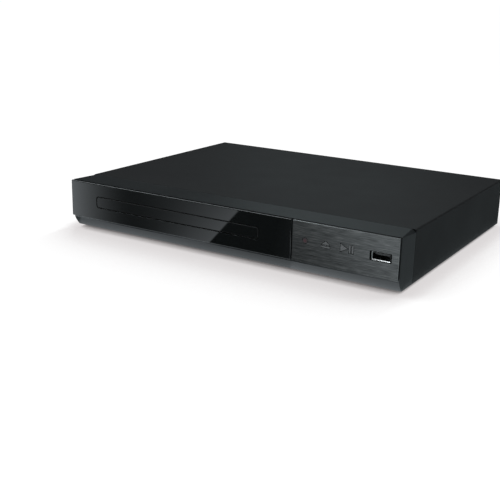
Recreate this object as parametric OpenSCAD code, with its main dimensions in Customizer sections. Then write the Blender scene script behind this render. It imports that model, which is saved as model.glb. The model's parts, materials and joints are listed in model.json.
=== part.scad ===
// Compact disc player with a motor-driven tray.
// Millimetres, +Z up, +X to the right seen from the front, the front faces -Y.
// The origin is under the middle of the whole player, at the level it stands on.
// Inside from_front() y runs back from the face of the front plates.

/* [Cabinet] */
// Width over the front plates and the cover
cab_w = 270; // [243:1:300]
// Depth from the face of the front plates to the back of the cover
cab_d = 210; // [209:1:240]
// Height from the cabinet's underside to its top
cab_h = 36.5; // [36.4:0.1:44]
// Height of the rubber feet
foot_h = 2; // [1.5:0.1:6]
// Radius of a foot
foot_r = 7; // [4:0.5:9]
// Distance of the feet from the cabinet's sides
foot_side = 23; // [16:1:40]
// Distance of the feet from the cabinet's front and back
foot_end = 46; // [44:1:50]
// Thickness of the cover's sheet
cover_t = 0.8; // [0.6:0.1:1]
// Outer radius of the cover's bends
bend_r = 1.4; // [1.1:0.1:2]
// Height of the lip that the cover folds down at the back
cover_lip = 5; // [4:0.5:6]
// Thickness of the bottom chassis
chassis_t = 1; // [0.8:0.1:1.2]
// Height of the chassis's side flanges
chassis_flange = 12; // [8:1:20]
// Thickness of the rear panel
rear_t = 1; // [0.8:0.1:1.2]
// Radius of the cover screws' heads
cover_screw_r = 2.8; // [2.2:0.1:3.2]
// Distance of the outer cover screw from the cabinet's side
cover_screw_in = 16; // [12:1:24]

/* [Front] */
// Thickness of the front plates
plate_t = 1.6; // [1.6:0.1:2.4]
// Height of the plates' lower edge above the cabinet's underside
plate_low = 8.7; // [8:0.1:9.4]
// Depth of the dark groove behind the plates
groove_d = 1.2; // [0.5:0.1:1.4]
// How far the pad behind the plates is set in from their edges
groove_in = 1; // [0.6:0.1:1.6]
// Width of the plate with the keys, from the middle of the seam
control_w = 75.7; // [75:0.1:78]
// Width of the seam
seam_w = 1; // [0.6:0.1:1.4]
// Depth of the bezel behind the pad
bezel_d = 22.9; // [20:0.1:26]
// Wall of the bezel
bezel_wall = 2.2; // [1.8:0.1:2.6]
// Gap between the bezel and the cover
bezel_seam = 0.3; // [0.1:0.1:0.5]
// How far back the chin has run at its lower edge
chin_back = 4.9; // [3:0.1:6]
// Height of the chin
chin_h = 7; // [6:0.1:8]
// How far the chin bulges out of its straight line
chin_bulge = 0.4; // [0.2:0.1:0.8]
// Width of the edge bevel where the bezel meets the cover
bevel_w = 3; // [2:0.1:3.6]
// Height of the edge bevel where the bezel meets the cover
bevel_h = 2; // [1.4:0.1:2.4]
// Width and height of the edge bevel at its front end
bevel_tip = 0.3; // [0.2:0.1:0.6]

/* [Keys] */
// Distance of the power key's middle from the seam
key_in = 9.9; // [9:0.1:11]
// Distance from key to key
key_pitch = 15.1; // [14:0.1:15.6]
// Height of the keys' middle above the cabinet's underside
key_z = 23.7; // [22:0.1:25]
// Gap around a key
key_gap = 0.3; // [0.15:0.05:0.4]
// Travel of a key
key_travel = 0.5; // [0.3:0.1:0.7]
// Radius of the power key
power_r = 1.8; // [1.4:0.1:3.6]
// Width of the eject sign
eject_w = 6.2; // [5:0.1:8]
// Height of the eject sign
eject_h = 4.6; // [4:0.1:7]
// Width of the play and pause sign
play_w = 9.2; // [8.4:0.1:12]
// Height of the play and pause sign
play_h = 5.2; // [4.4:0.1:8]
// Thickness of the bars in the signs
bar_t = 1.1; // [0.9:0.1:1.8]
// Thickness of the key plates behind the signs
key_plate_t = 1; // [0.8:0.1:1.4]
// Size of a push switch
switch_w = 6; // [5:0.1:7]

/* [Socket] */
// Distance of the data socket's middle from the end of the plate
usb_in = 12.3; // [11.5:0.1:14]
// Height of the data socket's middle above the cabinet's underside
usb_z = 22.5; // [20:0.1:25]
// Width of the cut-out for the data socket
usb_cut_w = 15; // [14.2:0.1:16]
// Height of the cut-out for the data socket
usb_cut_h = 6.3; // [6.1:0.1:8]
// Outer width of the socket's shell
usb_w = 13.1; // [12.9:0.1:13.4]
// Outer height of the socket's shell
usb_h = 5.7; // [5.5:0.1:5.9]
// Sheet of the socket's shell
usb_t = 0.3; // [0.2:0.05:0.35]
// Depth of the socket's shell
usb_d = 14; // [12:0.5:18]
// Width of the socket's tongue
tongue_w = 11; // [10:0.1:11.4]
// Thickness of the socket's tongue
tongue_t = 1.84; // [1.6:0.02:2]
// Depth of the socket's tongue
tongue_d = 8.8; // [8:0.1:10]

/* [Tray door] */
// Width of the tray door
door_w = 142.9; // [141:0.1:146]
// Height of the tray door
door_h = 8; // [7.9:0.1:9]
// Thickness of the tray door
door_t = 1.6; // [1.2:0.1:1.9]
// Height of the door's lower edge above the cabinet's underside
door_low = 18.5; // [18.3:0.1:18.6]
// Corner radius of the tray door
door_r = 1.8; // [1:0.1:3]
// Gap around the tray door
door_gap = 0.55; // [0.3:0.05:0.65]

/* [Disc tray] */
// Width of the tray
tray_w = 138; // [136:0.1:138.4]
// Length of the tray behind its door
tray_len = 188; // [184:1:189]
// Travel of the tray
tray_travel = 135; // [120:1:136]
// Radius of the recess for a full disc
disc_r = 61; // [60.5:0.1:62]
// Radius of the recess for a small disc
small_disc_r = 41; // [40.5:0.1:42]
// Distance of the disc's middle from the front
disc_y = 72; // [70:0.5:73]
// Depth of the full recess below the rim
disc_depth = 2; // [1.6:0.1:2.2]
// Depth of the small recess below the full one
small_depth = 0.8; // [0.6:0.1:1]
// Thickness of the tray at its rim
tray_t = 4; // [3.8:0.1:4.2]
// Height of the rack and the guide ribs under the tray
rack_h = 2.6; // [2.2:0.1:2.8]
// Width of the slot for the drive and the pickup
window_w = 42; // [38:0.5:43]
// Width of the groove between the ribs that push the cam slider
rib_slot = 3.4; // [3.2:0.1:3.8]
// Thickness of those ribs
rib_t = 1.2; // [1:0.1:1.4]
// Gap between the tray and its guides
guide_gap = 0.25; // [0.15:0.05:0.4]

/* [Loader] */
// Wall of the loader frame
loader_wall = 3; // [2.4:0.1:3.4]
// Thickness of the loader's deck
deck_t = 1.4; // [1.2:0.1:1.8]
// Distance of the loader frame's front from the front plates
loader_y = 21.5; // [20:0.5:22]
// Depth of the loader frame
loader_d = 175; // [173:1:176]
// Depth of the deck at the front
deck_d = 29; // [28.5:0.5:29.2]
// Pitch module of the rack and its wheel
rack_m = 1; // [0.9:0.05:1.1]
// Teeth of the wheel that drives the rack
rack_teeth = 24; // [22:1:26]
// Module of the reduction
train_m = 0.8; // [0.7:0.05:0.85]
// Teeth of the large wheel of the reduction
wheel_teeth = 40; // [36:1:42]
// Teeth of the pinion on the belt pulley
pinion_teeth = 16; // [14:1:18]
// Play between meshing teeth
backlash = 0.16; // [0.1:0.02:0.24]
// Running clearance of a shaft in its bore
shaft_gap = 0.06; // [0.03:0.01:0.09]
// Radius of the wheels' posts
post_r = 2; // [1.6:0.1:2.2]
// Radius of the belt in the large pulley
pulley_r = 10; // [8:0.5:10.5]
// Radius of the belt in the motor pulley
motor_pulley_r = 2.6; // [2.2:0.1:3.2]
// Thickness of the belt
belt_t = 1.2; // [1:0.1:1.4]
// Radius of the loading motor
motor_r = 12; // [10:0.5:12.5]
// Height of the loading motor
motor_h = 10.2; // [8:0.1:10.3]
// Sideways travel of the cam slider
cam_travel = 12; // [10:0.5:13]
// How far the cam slider lowers the pins of the drive unit
cam_drop = 7; // [6:0.1:7.4]
// Thickness of the cam slider
cam_t = 1.6; // [1.2:0.1:1.8]
// Radius of the cam slider's pin
cam_pin_r = 1.4; // [1.2:0.05:1.5]

/* [Disc clamp] */
// Width of the bridge over the tray
bridge_w = 44; // [36:1:50]
// Thickness of the bridge
bridge_t = 1.5; // [1.2:0.1:1.8]
// Radius of the clamp
clamp_r = 15; // [13:0.5:16]
// Radius of the clamp's neck
clamp_neck_r = 10; // [8:0.5:11]
// Radius of the clamp's magnet
magnet_r = 7; // [5:0.5:7.5]

/* [Drive unit] */
// Thickness of the unit's plate
unit_t = 1.5; // [1.2:0.1:1.8]
// Distance of the unit's front edge from the front plates
unit_y = 55; // [54.8:0.1:56]
// Depth of the unit
unit_d = 113; // [102:1:115]
// Reach of the unit to the left of the disc's middle
unit_left = 28; // [27:0.5:28]
// Reach of the unit to the right of the disc's middle
unit_right = 52; // [48:0.5:54]
// Radius of the pivot pins
pivot_r = 2; // [1.6:0.1:2.4]
// Radius of the rubber bushes around the pivot pins
bush_r = 4.5; // [4:0.1:5]
// Length of a bush
bush_len = 3; // [2.4:0.1:3.4]
// Radius of the spindle motor
spindle_r = 12; // [10:0.5:13]
// Radius of the turntable
turntable_r = 15; // [13:0.5:16]
// Radius of the hub that centres the disc
hub_r = 7.4; // [7.2:0.05:7.45]
// Radius of the guide rods
rod_r = 1.5; // [1.2:0.1:1.8]
// Travel of the pickup
pickup_travel = 36; // [30:1:37]
// Width of the lens housing
lens_box_w = 24; // [20:0.5:25]
// Radius of the lens
lens_r = 2.2; // [1.8:0.1:2.6]
// Module of the teeth that move the pickup
feed_m = 0.8; // [0.7:0.05:0.8]
// Teeth of the small ring of the feed wheel
feed_small_teeth = 14; // [13:1:15]
// Module of the feed motor's gears
feed_fine_m = 0.5; // [0.45:0.05:0.5]
// Teeth of the large ring of the feed wheel
feed_large_teeth = 32; // [30:1:33]
// Teeth of the feed motor's pinion
feed_pinion_teeth = 14; // [13:1:15]
// Radius of the feed motor
feed_motor_r = 8; // [6:0.5:8]

/* [Boards] */
// Thickness of the circuit boards
board_t = 1.6; // [1.2:0.1:1.8]
// Height of the standoffs under the boards
standoff_h = 5; // [4:0.1:6]
// Share of the room beside the loader that the main board takes
main_share = 0.44; // [0.42:0.01:0.46]
// Depth of the main board
main_d = 132; // [119:1:134]
// Share of the room beside the loader that the power board takes
power_share = 0.46; // [0.44:0.01:0.48]
// Depth of the power board
power_d = 110; // [99:1:115]
// Gap between the boards and between them and the walls
board_gap = 1.6; // [1:0.1:2]
// Radius of a board screw's head
board_screw_r = 2.6; // [2.2:0.1:3]

/* [Rear sockets] */
// Distance from one signal socket to the next
jack_pitch = 13; // [11:0.5:14]
// Radius of a signal socket's barrel
jack_r = 4.15; // [4.1:0.05:4.2]
// Radius of the hole down a signal socket
jack_bore_r = 1.6; // [1.55:0.05:1.7]
// How far the signal sockets stand out at the back
jack_out = 9.5; // [8:0.5:10]
// Height of the signal sockets above the cabinet's underside
jack_z = 17; // [14:0.5:20]
// Distance between the pins of the mains inlet
inlet_pitch = 8.6; // [8.4:0.1:8.8]
// Radius of the inlet's pins
inlet_pin_r = 1.2; // [1.15:0.05:1.25]
// Radius of the round ends of the inlet's cavity
inlet_r = 4.1; // [4:0.05:4.2]
// Depth of the inlet's cavity
inlet_depth = 11; // [10:0.5:12]
// Width of a vent slot
vent_w = 3; // [2:0.1:3.4]

/* [Hidden] */
$fn = 48;
// How far pieces of one solid run into each other, and how far cuts run past a surface
eps = 0.01;
over = 1;
quarter = 90;
half_turn = 180;

// Levels, from the ground up
cab_low = foot_h;
cab_top = foot_h + cab_h;
floor_z = cab_low + chassis_t;
roof_z = cab_top - cover_t;
plate_z = cab_low + plate_low;
door_z = cab_low + door_low;
rack_low = door_z + 0.3;
tray_low = rack_low + rack_h;
tray_top = tray_low + tray_t;
disc_z = tray_top - disc_depth;
small_disc_z = disc_z - small_depth;
wheel_gap = 0.3;
wheel_h = 2.4;
train_h = 1.7;
rack_wheel_z = rack_low - 0.2;
train_z = rack_wheel_z - wheel_gap - train_h;
pulley_w = 2;
pulley_rim = 0.35;
pulley_z = train_z - wheel_gap - pulley_w;
deck_z = pulley_z - wheel_gap - deck_t;
deck_top = deck_z + deck_t;
cam_z = deck_top + 0.2;
unit_z = rack_low - 3.9 - unit_t;
unit_top = unit_z + unit_t;
rod_z = unit_z - 3.2;

// Depths from the front
front_y = -(cab_d + jack_out) / 2;
bezel_y = plate_t + groove_d;
bezel_back = bezel_y + bezel_d;
cover_y = bezel_back + bezel_seam;
rear_y = cab_d - cover_t - rear_t;
tray_back = door_t + tray_len;
loader_back = loader_y + loader_d;

// Widths: the tray is in the middle of the plate beside the keys
half_w = cab_w / 2;
inner_w = half_w - cover_t;
seam_x = half_w - control_w;
tray_x = (seam_x - seam_w / 2 - half_w) / 2;

// Bezel
chin_steps = 6;
bezel_lap = 4;
bezel_lap_t = 1.2;
mouth_gap = 0.7;
mouth_rise = 0.4;
board_post_r = 1.1;
board_post_in = 2;

// Tray and its guides
tray_half = tray_w / 2;
wall_in = tray_half + guide_gap;
wall_out = wall_in + loader_wall;
wall_top = tray_top + guide_gap + 1.6;
ledge_w = 3.4;
ledge_t = 2.4;
rack_line = tray_x - tray_half + 8;
rack_back = 3.4;
rack_spare = 7;
groove_spare = 4;
deck_rim = 4;

// Loading gears: the rack's wheel, then the pulley's pinion ahead of it to the right
pressure = 20;
add = 0.9;
ded = 1.15;
rack_wheel_r = rack_m * rack_teeth / 2;
wheel_r = train_m * wheel_teeth / 2;
pinion_r = train_m * pinion_teeth / 2;
drive_in = 24.5;
drive_x = rack_line + rack_wheel_r;
drive_y = loader_y + drive_in;
train_angle = -25;
train_gap = wheel_r + pinion_r;
pulley_x = drive_x + train_gap * cos(train_angle);
pulley_y = drive_y + train_gap * sin(train_angle);
belt_span = 24.5;
belt_shift = 2;
motor_x = pulley_x + belt_span;
motor_y = pulley_y - belt_shift;
belt_angle = atan2(motor_y - pulley_y, motor_x - pulley_x);
belt_len = norm([motor_x - pulley_x, motor_y - pulley_y]);
belt_gap = 0.05;
flange = 1.4;
motor_shaft_r = 1;
shaft_seat = 1;
shaft_end = 0.2;
bush_w = 2.6;

// Loader frame: lugs on the chassis, fingers over the tray and brackets for the drive unit
loader_low = floor_z + 3;
lug_r = 4;
lug_h = 6;
lug_reach = lug_r + 0.9;
lug_web = 3;
lug_ends = [10.5, 16];
loader_lugs = [for (x = [tray_x - wall_out - lug_reach, tray_x + wall_out + lug_reach],
  y = [loader_y + lug_ends[0], loader_back - lug_ends[1]]) [x, y]];
finger_d = 16;
finger_at = [0.01, 0.446, 0.83];
screw_r = 1.25;
screw_head = 1.6;
screw_lead = 2.5;

// Cam slider and the slots that lower the drive unit
cam_pin_in = [29.9, 20.3];
cam_pin = [tray_x + cam_pin_in[0], loader_y + cam_pin_in[1]];
cam_edge = 2.6;
cam_end = 3.4;
cam_wall_t = 2;
cam_wall_y = loader_y + deck_d + 0.5;
cam_post_r = 1.5;
cam_post_in = [16, 44];
cam_post_back = 24.8;
cam_posts = [for (x = cam_post_in) [tray_x + x, loader_y + cam_post_back]];
cam_wall_low = 2.8;
cam_wall_end = 4;
unit_pin_r = 1.2;
unit_pin_in = [-8, 32];
unit_pins = [for (x = unit_pin_in) tray_x + x];
slot_gap = 0.25;
groove_slope = atan2(cam_travel, tray_travel);

// Disc clamp
clamp_z = tray_top + 0.5;
clamp_flange = 2;
clamp_play = 0.4;
clamp_ring = 3;
bridge_z = clamp_z + clamp_flange + 0.5;
clamp_cap_z = bridge_z + bridge_t + clamp_play;
clamp_cap = 1.7;
clamp_top = clamp_cap_z + clamp_cap;
hub_dish = [0.6, 0.8];
magnet_z = clamp_z + 2.2;

// Drive unit
unit_pin_z = unit_z - 1.8;
pivot_y = unit_y + unit_d - 3;
pivot_z = unit_pin_z - 4.1;
unit_x0 = tray_x - unit_left;
unit_x1 = tray_x + unit_right;
unit_back = unit_y + unit_d;
unit_side = 3.4;
unit_front = 2;
unit_rear = 4;
pivot_ear = 3;
pivot_rim = 0.8;
bush_gap = 1.3;
bush_x = [unit_x0 - bush_gap - bush_len, unit_x1 + bush_gap];
bracket_y = pivot_y - bush_r - 2;
bracket_rim = 1.6;
beam_y = unit_back + 3.5;
beam_t = 3;
turntable_top = disc_z + 0.6;
pad_t = 0.3;
pad_rim = 0.4;
pad_w = 2.6;
spindle_z = unit_top;
spindle_h = 6.2;
spindle_step = [5, 0.8];
hub_lip = 0.9;
hub_cone = 1.6;

// Pickup: its sled takes what its travel leaves of the unit's length
rod_x = [tray_x - 20, tray_x + 20];
rod_block = [3.2, 3.9, 2.8];
rod_spare = 2;
sled_y0 = disc_y + 16;
sled_half = 24;
sled_d = unit_back - sled_y0 - pickup_travel - rod_block[1] - 2 * rod_spare - 0.1;
sled_z = rod_z - 3;
sled_top = unit_z - 0.5;
sled_rim = 4;
sled_side = 8;
sled_hollow = 2;
lens_box_d = sled_d * 2 / 3;
lens_y = sled_y0 + sled_d / 2 - 2;
lens_top = disc_z - 0.4;
lens_base = 2.4;
lens_stage = [3, 0.8];
lens_room = [lens_box_w / 2 + 3, 1];
rod_front = sled_y0 - rod_spare - rod_block[1];
rod_rear = sled_y0 + sled_d + pickup_travel + rod_spare;

// Feed gears
feed_small_r = feed_m * feed_small_teeth / 2;
feed_large_r = feed_fine_m * feed_large_teeth / 2;
feed_pinion_r = feed_fine_m * feed_pinion_teeth / 2;
feed_line = tray_x + sled_half + 3.4;
feed_x = feed_line + feed_small_r;
feed_y = sled_y0 + sled_d - 6;
feed_angle = 60;
feed_gap = feed_large_r + feed_pinion_r;
feed_motor_x = feed_x + feed_gap * cos(feed_angle);
feed_motor_y = feed_y + feed_gap * sin(feed_angle);
feed_motor_h = 3.4;
feed_hole_r = 2;
feed_ring_h = 2.1;
feed_large_z = unit_z - 2.5;
feed_small_h = 3;
feed_small_z = feed_large_z - feed_small_h;
feed_rack_h = 2.2;
feed_rack_spare = 5;
feed_post_r = 1.2;

// Boards: the main board beside the loader, the power board beside the cover
board_z = floor_z + standoff_h;
board_top = board_z + board_t;
board_back = rear_y - 0.6;
board_room = inner_w - tray_x - wall_out - lug_reach - lug_r - 3 * board_gap;
main_w = main_share * board_room;
power_w = power_share * board_room;
power_x1 = inner_w - board_gap;
power_x0 = power_x1 - power_w;
main_x1 = power_x0 - board_gap;
main_x0 = main_x1 - main_w;
board_hole_in = 3.2;
board_hole_back = 24;
standoff_r = 2.8;
function corners(x0, x1, y0, y1) = [for (x = [x0, x1], y = [y0, y1]) [x, y]];
main_holes = corners(main_x0 + board_hole_in, main_x1 - board_hole_in,
  board_back - main_d + board_hole_in, board_back - board_hole_back);
power_holes = corners(power_x0 + board_hole_in, power_x1 - board_hole_in,
  board_back - power_d + board_hole_in, board_back - board_hole_back);
board_holes = concat(main_holes, power_holes);
feet = [for (sx = [-1, 1], y = [foot_end, cab_d - foot_end]) [sx * (half_w - foot_side), y]];
foot_stem_r = 2.2;
foot_button = [3, 1.2];
vent_step = 2.2 * vent_w;
floor_vents = 7;
floor_vent = 20;
rear_vents = 14;
rear_vent = [26, 9, 18];
cover_screw_x = [cover_screw_in - half_w, tray_x, seam_x + cover_screw_in];
cover_screw_z = roof_z - cover_lip / 2;
cover_head = [0.85, 1.3];
cross_cut = [2.6, 1.4, 0.6];

// Parts on the boards, placed by shares of the boards: across, back, size and height
chips = [
  [0.5, 0.62, 18, 1.6], [0.34, 0.43, 9, 1.2], [0.71, 0.43, 9, 1.2],
  [0.5, 0.305, 11, 1.4], [0.55, 0.78, 7, 1.2]
];
sink_side = 20;
sink_base = 1.6;
sink_h = 8;
fins = 7;
fin_t = 1.2;
signal_can = [2.5, 9];
supply_can = [3.15, 11];
can_in = 6;
can_rows = [0.227, 0.82, 0.735];
sockets = [[0.26, 0.97, 20, 5, 4.5], [0.21, 0.91, 12, 13, 5.5]];
power_socket = [0.15, 0.91, 16, 5.6, 7];
power_can = [4, 14];
power_cans = [0.225, 0.275, 0.77];
sink_plate = [0.09, 0.63, 2, 20, 16];
mains_can_r = 8;
mains_can = [0.6, 0.4, 0.218];
fuse_r = 2.6;
fuse = [0.21, 0.42, 0.236];
bobbin = [22, 20, 3];
core = [20, 11, 15];
winding = [9.2, 11];
transformer_at = 0.52;

// Keys and the boards behind them
key_at = [for (i = [0:2]) seam_x + key_in + i * key_pitch];
key_mid_z = cab_low + key_z;
key_plate_y = plate_t + 0.3;
key_stem_y = key_plate_y + key_plate_t;
key_stem_r = 1.5;
key_rim = 3;
sign_gap = 0.9 * bar_t;
board_front_y = 9;
switch_h = 3.5;
plunger_r = 1.7;
plunger_h = 1.1;
plunger_y = board_front_y - switch_h - plunger_h;
key_stem_end = plunger_y - key_travel - 0.15;
front_board_x = [key_at[0] - 7.5, key_at[2] + 8.6];
front_board_z = [cab_low + 10.5, cab_top - 3];
key_window = [key_at[0] - power_r - key_rim, key_at[2] + play_w / 2 + 2.4];
key_window_z = [key_mid_z - 6.2, key_mid_z + 6.4];
eye = [5.6, 2.6, 6, 1.8];
lamp = [1.5, 3];
lamp_z = key_mid_z + switch_w / 2 + 1.6;

// Data socket
usb_x = half_w - usb_in;
usb_mid_z = cab_low + usb_z;
usb_shell_y = 0.6;
usb_back = usb_shell_y + usb_d - usb_t;
usb_base = 1.5;
usb_room = [0.4, 0.2];
usb_corner = 0.8;
tongue_drop = 0.7;
usb_board_z = usb_mid_z - usb_h / 2 - board_t;
usb_board_y = [6, 24];
usb_board_left = 9.4;
usb_shelf = [8, 20, 2];

// Rear sockets
jack_mid = (main_x0 + main_x1) / 2;
jack_x = [for (i = [-1:1]) jack_mid + i * jack_pitch];
jack_mid_z = cab_low + jack_z;
jack_depth = 12;
jack_floor = 3;
jack_rim = 6;
jack_neck_r = jack_r - 0.3;
jack_wall = 0.6;
jack_bore = 6;
jack_step = 0.4;
inlet_x = (power_x0 + power_x1) / 2;
inlet_z = jack_mid_z;
inlet_wall = 1.6;
inlet_gap = 0.15;
inlet_lip = 1;
inlet_box = [11, 16, 7.4];
inlet_body = 14;
inlet_pin_in = 1.5;

// Everything is drawn from the front plates' face and moved into the middle once
module from_front() translate([0, front_y, 0]) children();

// A block between its lowest and highest corners
module block(lo, hi) translate(lo) cube(hi - lo);

// Outlines drawn in X and Z, run back from y0 to y1
module run_back(y0, y1) translate([0, y1, 0]) rotate([quarter, 0, 0]) linear_extrude(y1 - y0) children();

// Outlines drawn in Y and Z, run right from x0 to x1
module run_right(x0, x1)
  translate([x0, 0, 0]) rotate([quarter, 0, quarter]) linear_extrude(x1 - x0) children();

// Round bars between two values of one coordinate
module bar_x(x0, x1, y, z, r) translate([x0, y, z]) rotate([0, quarter, 0]) cylinder(h = x1 - x0, r = r);
module bar_y(x, y0, y1, z, r) translate([x, y1, z]) rotate([quarter, 0, 0]) cylinder(h = y1 - y0, r = r);
module bar_z(x, y, z0, z1, r) translate([x, y, z0]) cylinder(h = z1 - z0, r = r);

// A flat outline with round corners, centred
module round_rect(w, h, r) {
  square([w - 2 * r, h], center = true);
  square([w, h - 2 * r], center = true);
  for (sx = [-1, 1], sy = [-1, 1]) translate([sx * (w / 2 - r), sy * (h / 2 - r)]) circle(r);
}

// A slot with round ends from one point to another
module slot(a, b, r) {
  d = b - a;
  for (p = [a, b]) translate(p) circle(r);
  translate(a) rotate(atan2(d[1], d[0])) translate([0, eps - r]) square([norm(d), 2 * (r - eps)]);
}

// Half of a tooth's angle at radius r, for an involute tooth thinned by the play
function degrees(a) = a * half_turn / PI;
function inv(a) = degrees(tan(a)) - a;
function tooth_half(m, n, r) =
  let (rp = m * n / 2, rb = rp * cos(pressure), ra = max(r, rb))
  quarter / n - degrees(backlash / 4 / rp) + inv(pressure) - inv(acos(rb / ra));

// Outline of a gear with n teeth of module m, one tooth pointing along +X
function gear_points(m, n, steps = 4) =
  let (
    rp = m * n / 2,
    root = rp - ded * m,
    tip = rp + add * m,
    base = max(root, rp * cos(pressure)),
    radii = concat([root], [for (k = [0:steps]) base + (tip - base) * k / steps])
  )
  [for (i = [0:n - 1], side = [-1, 1], k = [0:steps + 1])
    let (
      j = side < 0 ? k : steps + 1 - k,
      r = radii[j],
      a = 2 * half_turn * i / n + side * tooth_half(m, n, r)
    )
    [r * cos(a), r * sin(a)]];

module gear(m, n, z, h, turn) translate([0, 0, z]) linear_extrude(h) rotate(turn) polygon(gear_points(m, n));

// The turn that puts a gap of a wheel with n teeth where another wheel's tooth points at it
function meshing(angle, n) = angle + half_turn + half_turn / n;

// Teeth of a rack along Y on its pitch line, facing +X, with a gap centred at y = 0
module rack(m, from, to, depth) {
  pitch = PI * m;
  half = pitch / 4 - backlash / 4;
  lean = tan(pressure) * m;
  translate([-ded * m - depth, from]) square([depth, to - from]);
  for (i = [ceil(from / pitch):floor(to / pitch) - 1])
    translate([0, (i + 1 / 2) * pitch])
      polygon([
        [-ded * m - eps, -half - ded * lean], [add * m, -half + add * lean],
        [add * m, half - add * lean], [-ded * m - eps, half + ded * lean]
      ]);
}

// The area inside a belt around two pulleys
module belt_area(r1, r2) {
  lean = acos((r1 - r2) / belt_len);
  a = [pulley_x, pulley_y];
  b = [motor_x, motor_y];
  translate(a) circle(r1);
  translate(b) circle(r2);
  polygon([
    for (s = [1, -1]) a + r1 * [cos(belt_angle + s * lean), sin(belt_angle + s * lean)],
    for (s = [-1, 1]) b + r2 * [cos(belt_angle + s * lean), sin(belt_angle + s * lean)]
  ]);
}

// A pulley with a groove for the belt
module pulley(r) {
  cylinder(h = pulley_rim, r = r + flange);
  cylinder(h = pulley_w, r = r - belt_gap);
  translate([0, 0, pulley_w - pulley_rim]) cylinder(h = pulley_rim, r = r + flange);
}

// Signs on the keys, drawn in X and Z about their middle: a triangle over a bar, a triangle before two bars
eject_base = bar_t - eject_h / 2 + sign_gap;
play_tip = play_w / 2 - 2 * bar_t - 2 * sign_gap;
play_bars = [play_w / 2 - bar_t, play_w / 2 - 2 * bar_t - sign_gap];
module eject_sign() {
  polygon([[-eject_w / 2, eject_base], [eject_w / 2, eject_base], [0, eject_h / 2]]);
  translate([-eject_w / 2, -eject_h / 2]) square([eject_w, bar_t]);
}
module play_sign() {
  polygon([[-play_w / 2, -play_h / 2], [-play_w / 2, play_h / 2], [play_tip, 0]]);
  for (x = play_bars) translate([x, -play_h / 2]) square([bar_t, play_h]);
}

// The same signs, larger by the gap around them; side is how far a triangle's corner moves out
module eject_hole() {
  rise = eject_h / 2 - eject_base;
  side = key_gap * (1 + norm([eject_w / 2, rise]) / rise);
  polygon([
    [-eject_w / 2 - side, eject_base - key_gap], [eject_w / 2 + side, eject_base - key_gap],
    [0, eject_h / 2 + key_gap + side * rise / eject_w]
  ]);
  translate([-eject_w / 2, -eject_h / 2] - [key_gap, key_gap])
    square([eject_w, bar_t] + 2 * [key_gap, key_gap]);
}
module play_hole() {
  run = play_tip + play_w / 2;
  side = key_gap * (1 + norm([play_h / 2, run]) / run);
  polygon([
    [-play_w / 2 - key_gap, -play_h / 2 - side], [-play_w / 2 - key_gap, play_h / 2 + side],
    [play_tip + key_gap + side * run / play_h, 0]
  ]);
  for (x = play_bars)
    translate([x, -play_h / 2] - [key_gap, key_gap]) square([bar_t, play_h] + 2 * [key_gap, key_gap]);
}
module at_key(i) translate([key_at[i], key_mid_z]) children();
module at_usb() translate([usb_x, usb_mid_z]) children();
module at_door() translate([tray_x, door_z + door_h / 2]) children();

// Front plates
module plate_outline(x0, x1) translate([x0, plate_z]) square([x1 - x0, cab_top - plate_z]);

module front_plate() color([0.11, 0.12, 0.12]) from_front() run_back(0, plate_t) difference() {
  plate_outline(-half_w, seam_x - seam_w / 2);
  at_door() round_rect(door_w + 2 * door_gap, door_h + 2 * door_gap, door_r + door_gap);
}

module control_plate() color([0.27, 0.29, 0.29]) from_front() run_back(0, plate_t) difference() {
  plate_outline(seam_x + seam_w / 2, half_w);
  at_key(0) circle(power_r + key_gap);
  at_key(1) eject_hole();
  at_key(2) play_hole();
  at_usb() round_rect(usb_cut_w, usb_cut_h, usb_corner);
}

// Bezel: a hollow moulding with the pad that carries the plates and the chin, which bulges as it runs back
module chin_outline(inset, back) {
  top = [bezel_y + inset, cab_low + chin_h];
  low = [bezel_y + chin_back, cab_low + inset];
  run = low - top;
  mid = (top + low) / 2 + 2 * chin_bulge * [run[1], -run[0]] / norm(run);
  curve = [for (i = [0:chin_steps]) let (t = i / chin_steps)
    top * (1 - t) * (1 - t) + mid * 2 * t * (1 - t) + low * t * t];
  rest = [[back, cab_low + inset], [back, cab_top - inset], [bezel_y + inset, cab_top - inset]];
  polygon(concat(curve, rest));
}
module bezel_bevel() {
  a = [half_w - bevel_tip, bezel_y, cab_top];
  b = [half_w - bevel_w, bezel_back, cab_top];
  c = [half_w, bezel_back, cab_top - bevel_h];
  n = cross(c - a, b - a);
  up = n / norm(n) * sign(n[2]);
  translate(a) rotate([0, acos(up[2]), atan2(up[1], up[0])])
    translate([-bezel_d, -2 * bezel_d, 0]) cube([2 * bezel_d, 4 * bezel_d, bezel_d]);
}
module bezel_openings() {
  mouth_half = tray_half + mouth_gap;
  translate([tray_x - mouth_half, rack_low - mouth_rise])
    square([2 * mouth_half, tray_top - rack_low + 2 * mouth_rise]);
  translate([key_window[0], key_window_z[0]])
    square([key_window[1] - key_window[0], key_window_z[1] - key_window_z[0]]);
  at_usb() square([usb_cut_w, usb_cut_h] + usb_room, center = true);
}
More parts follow.
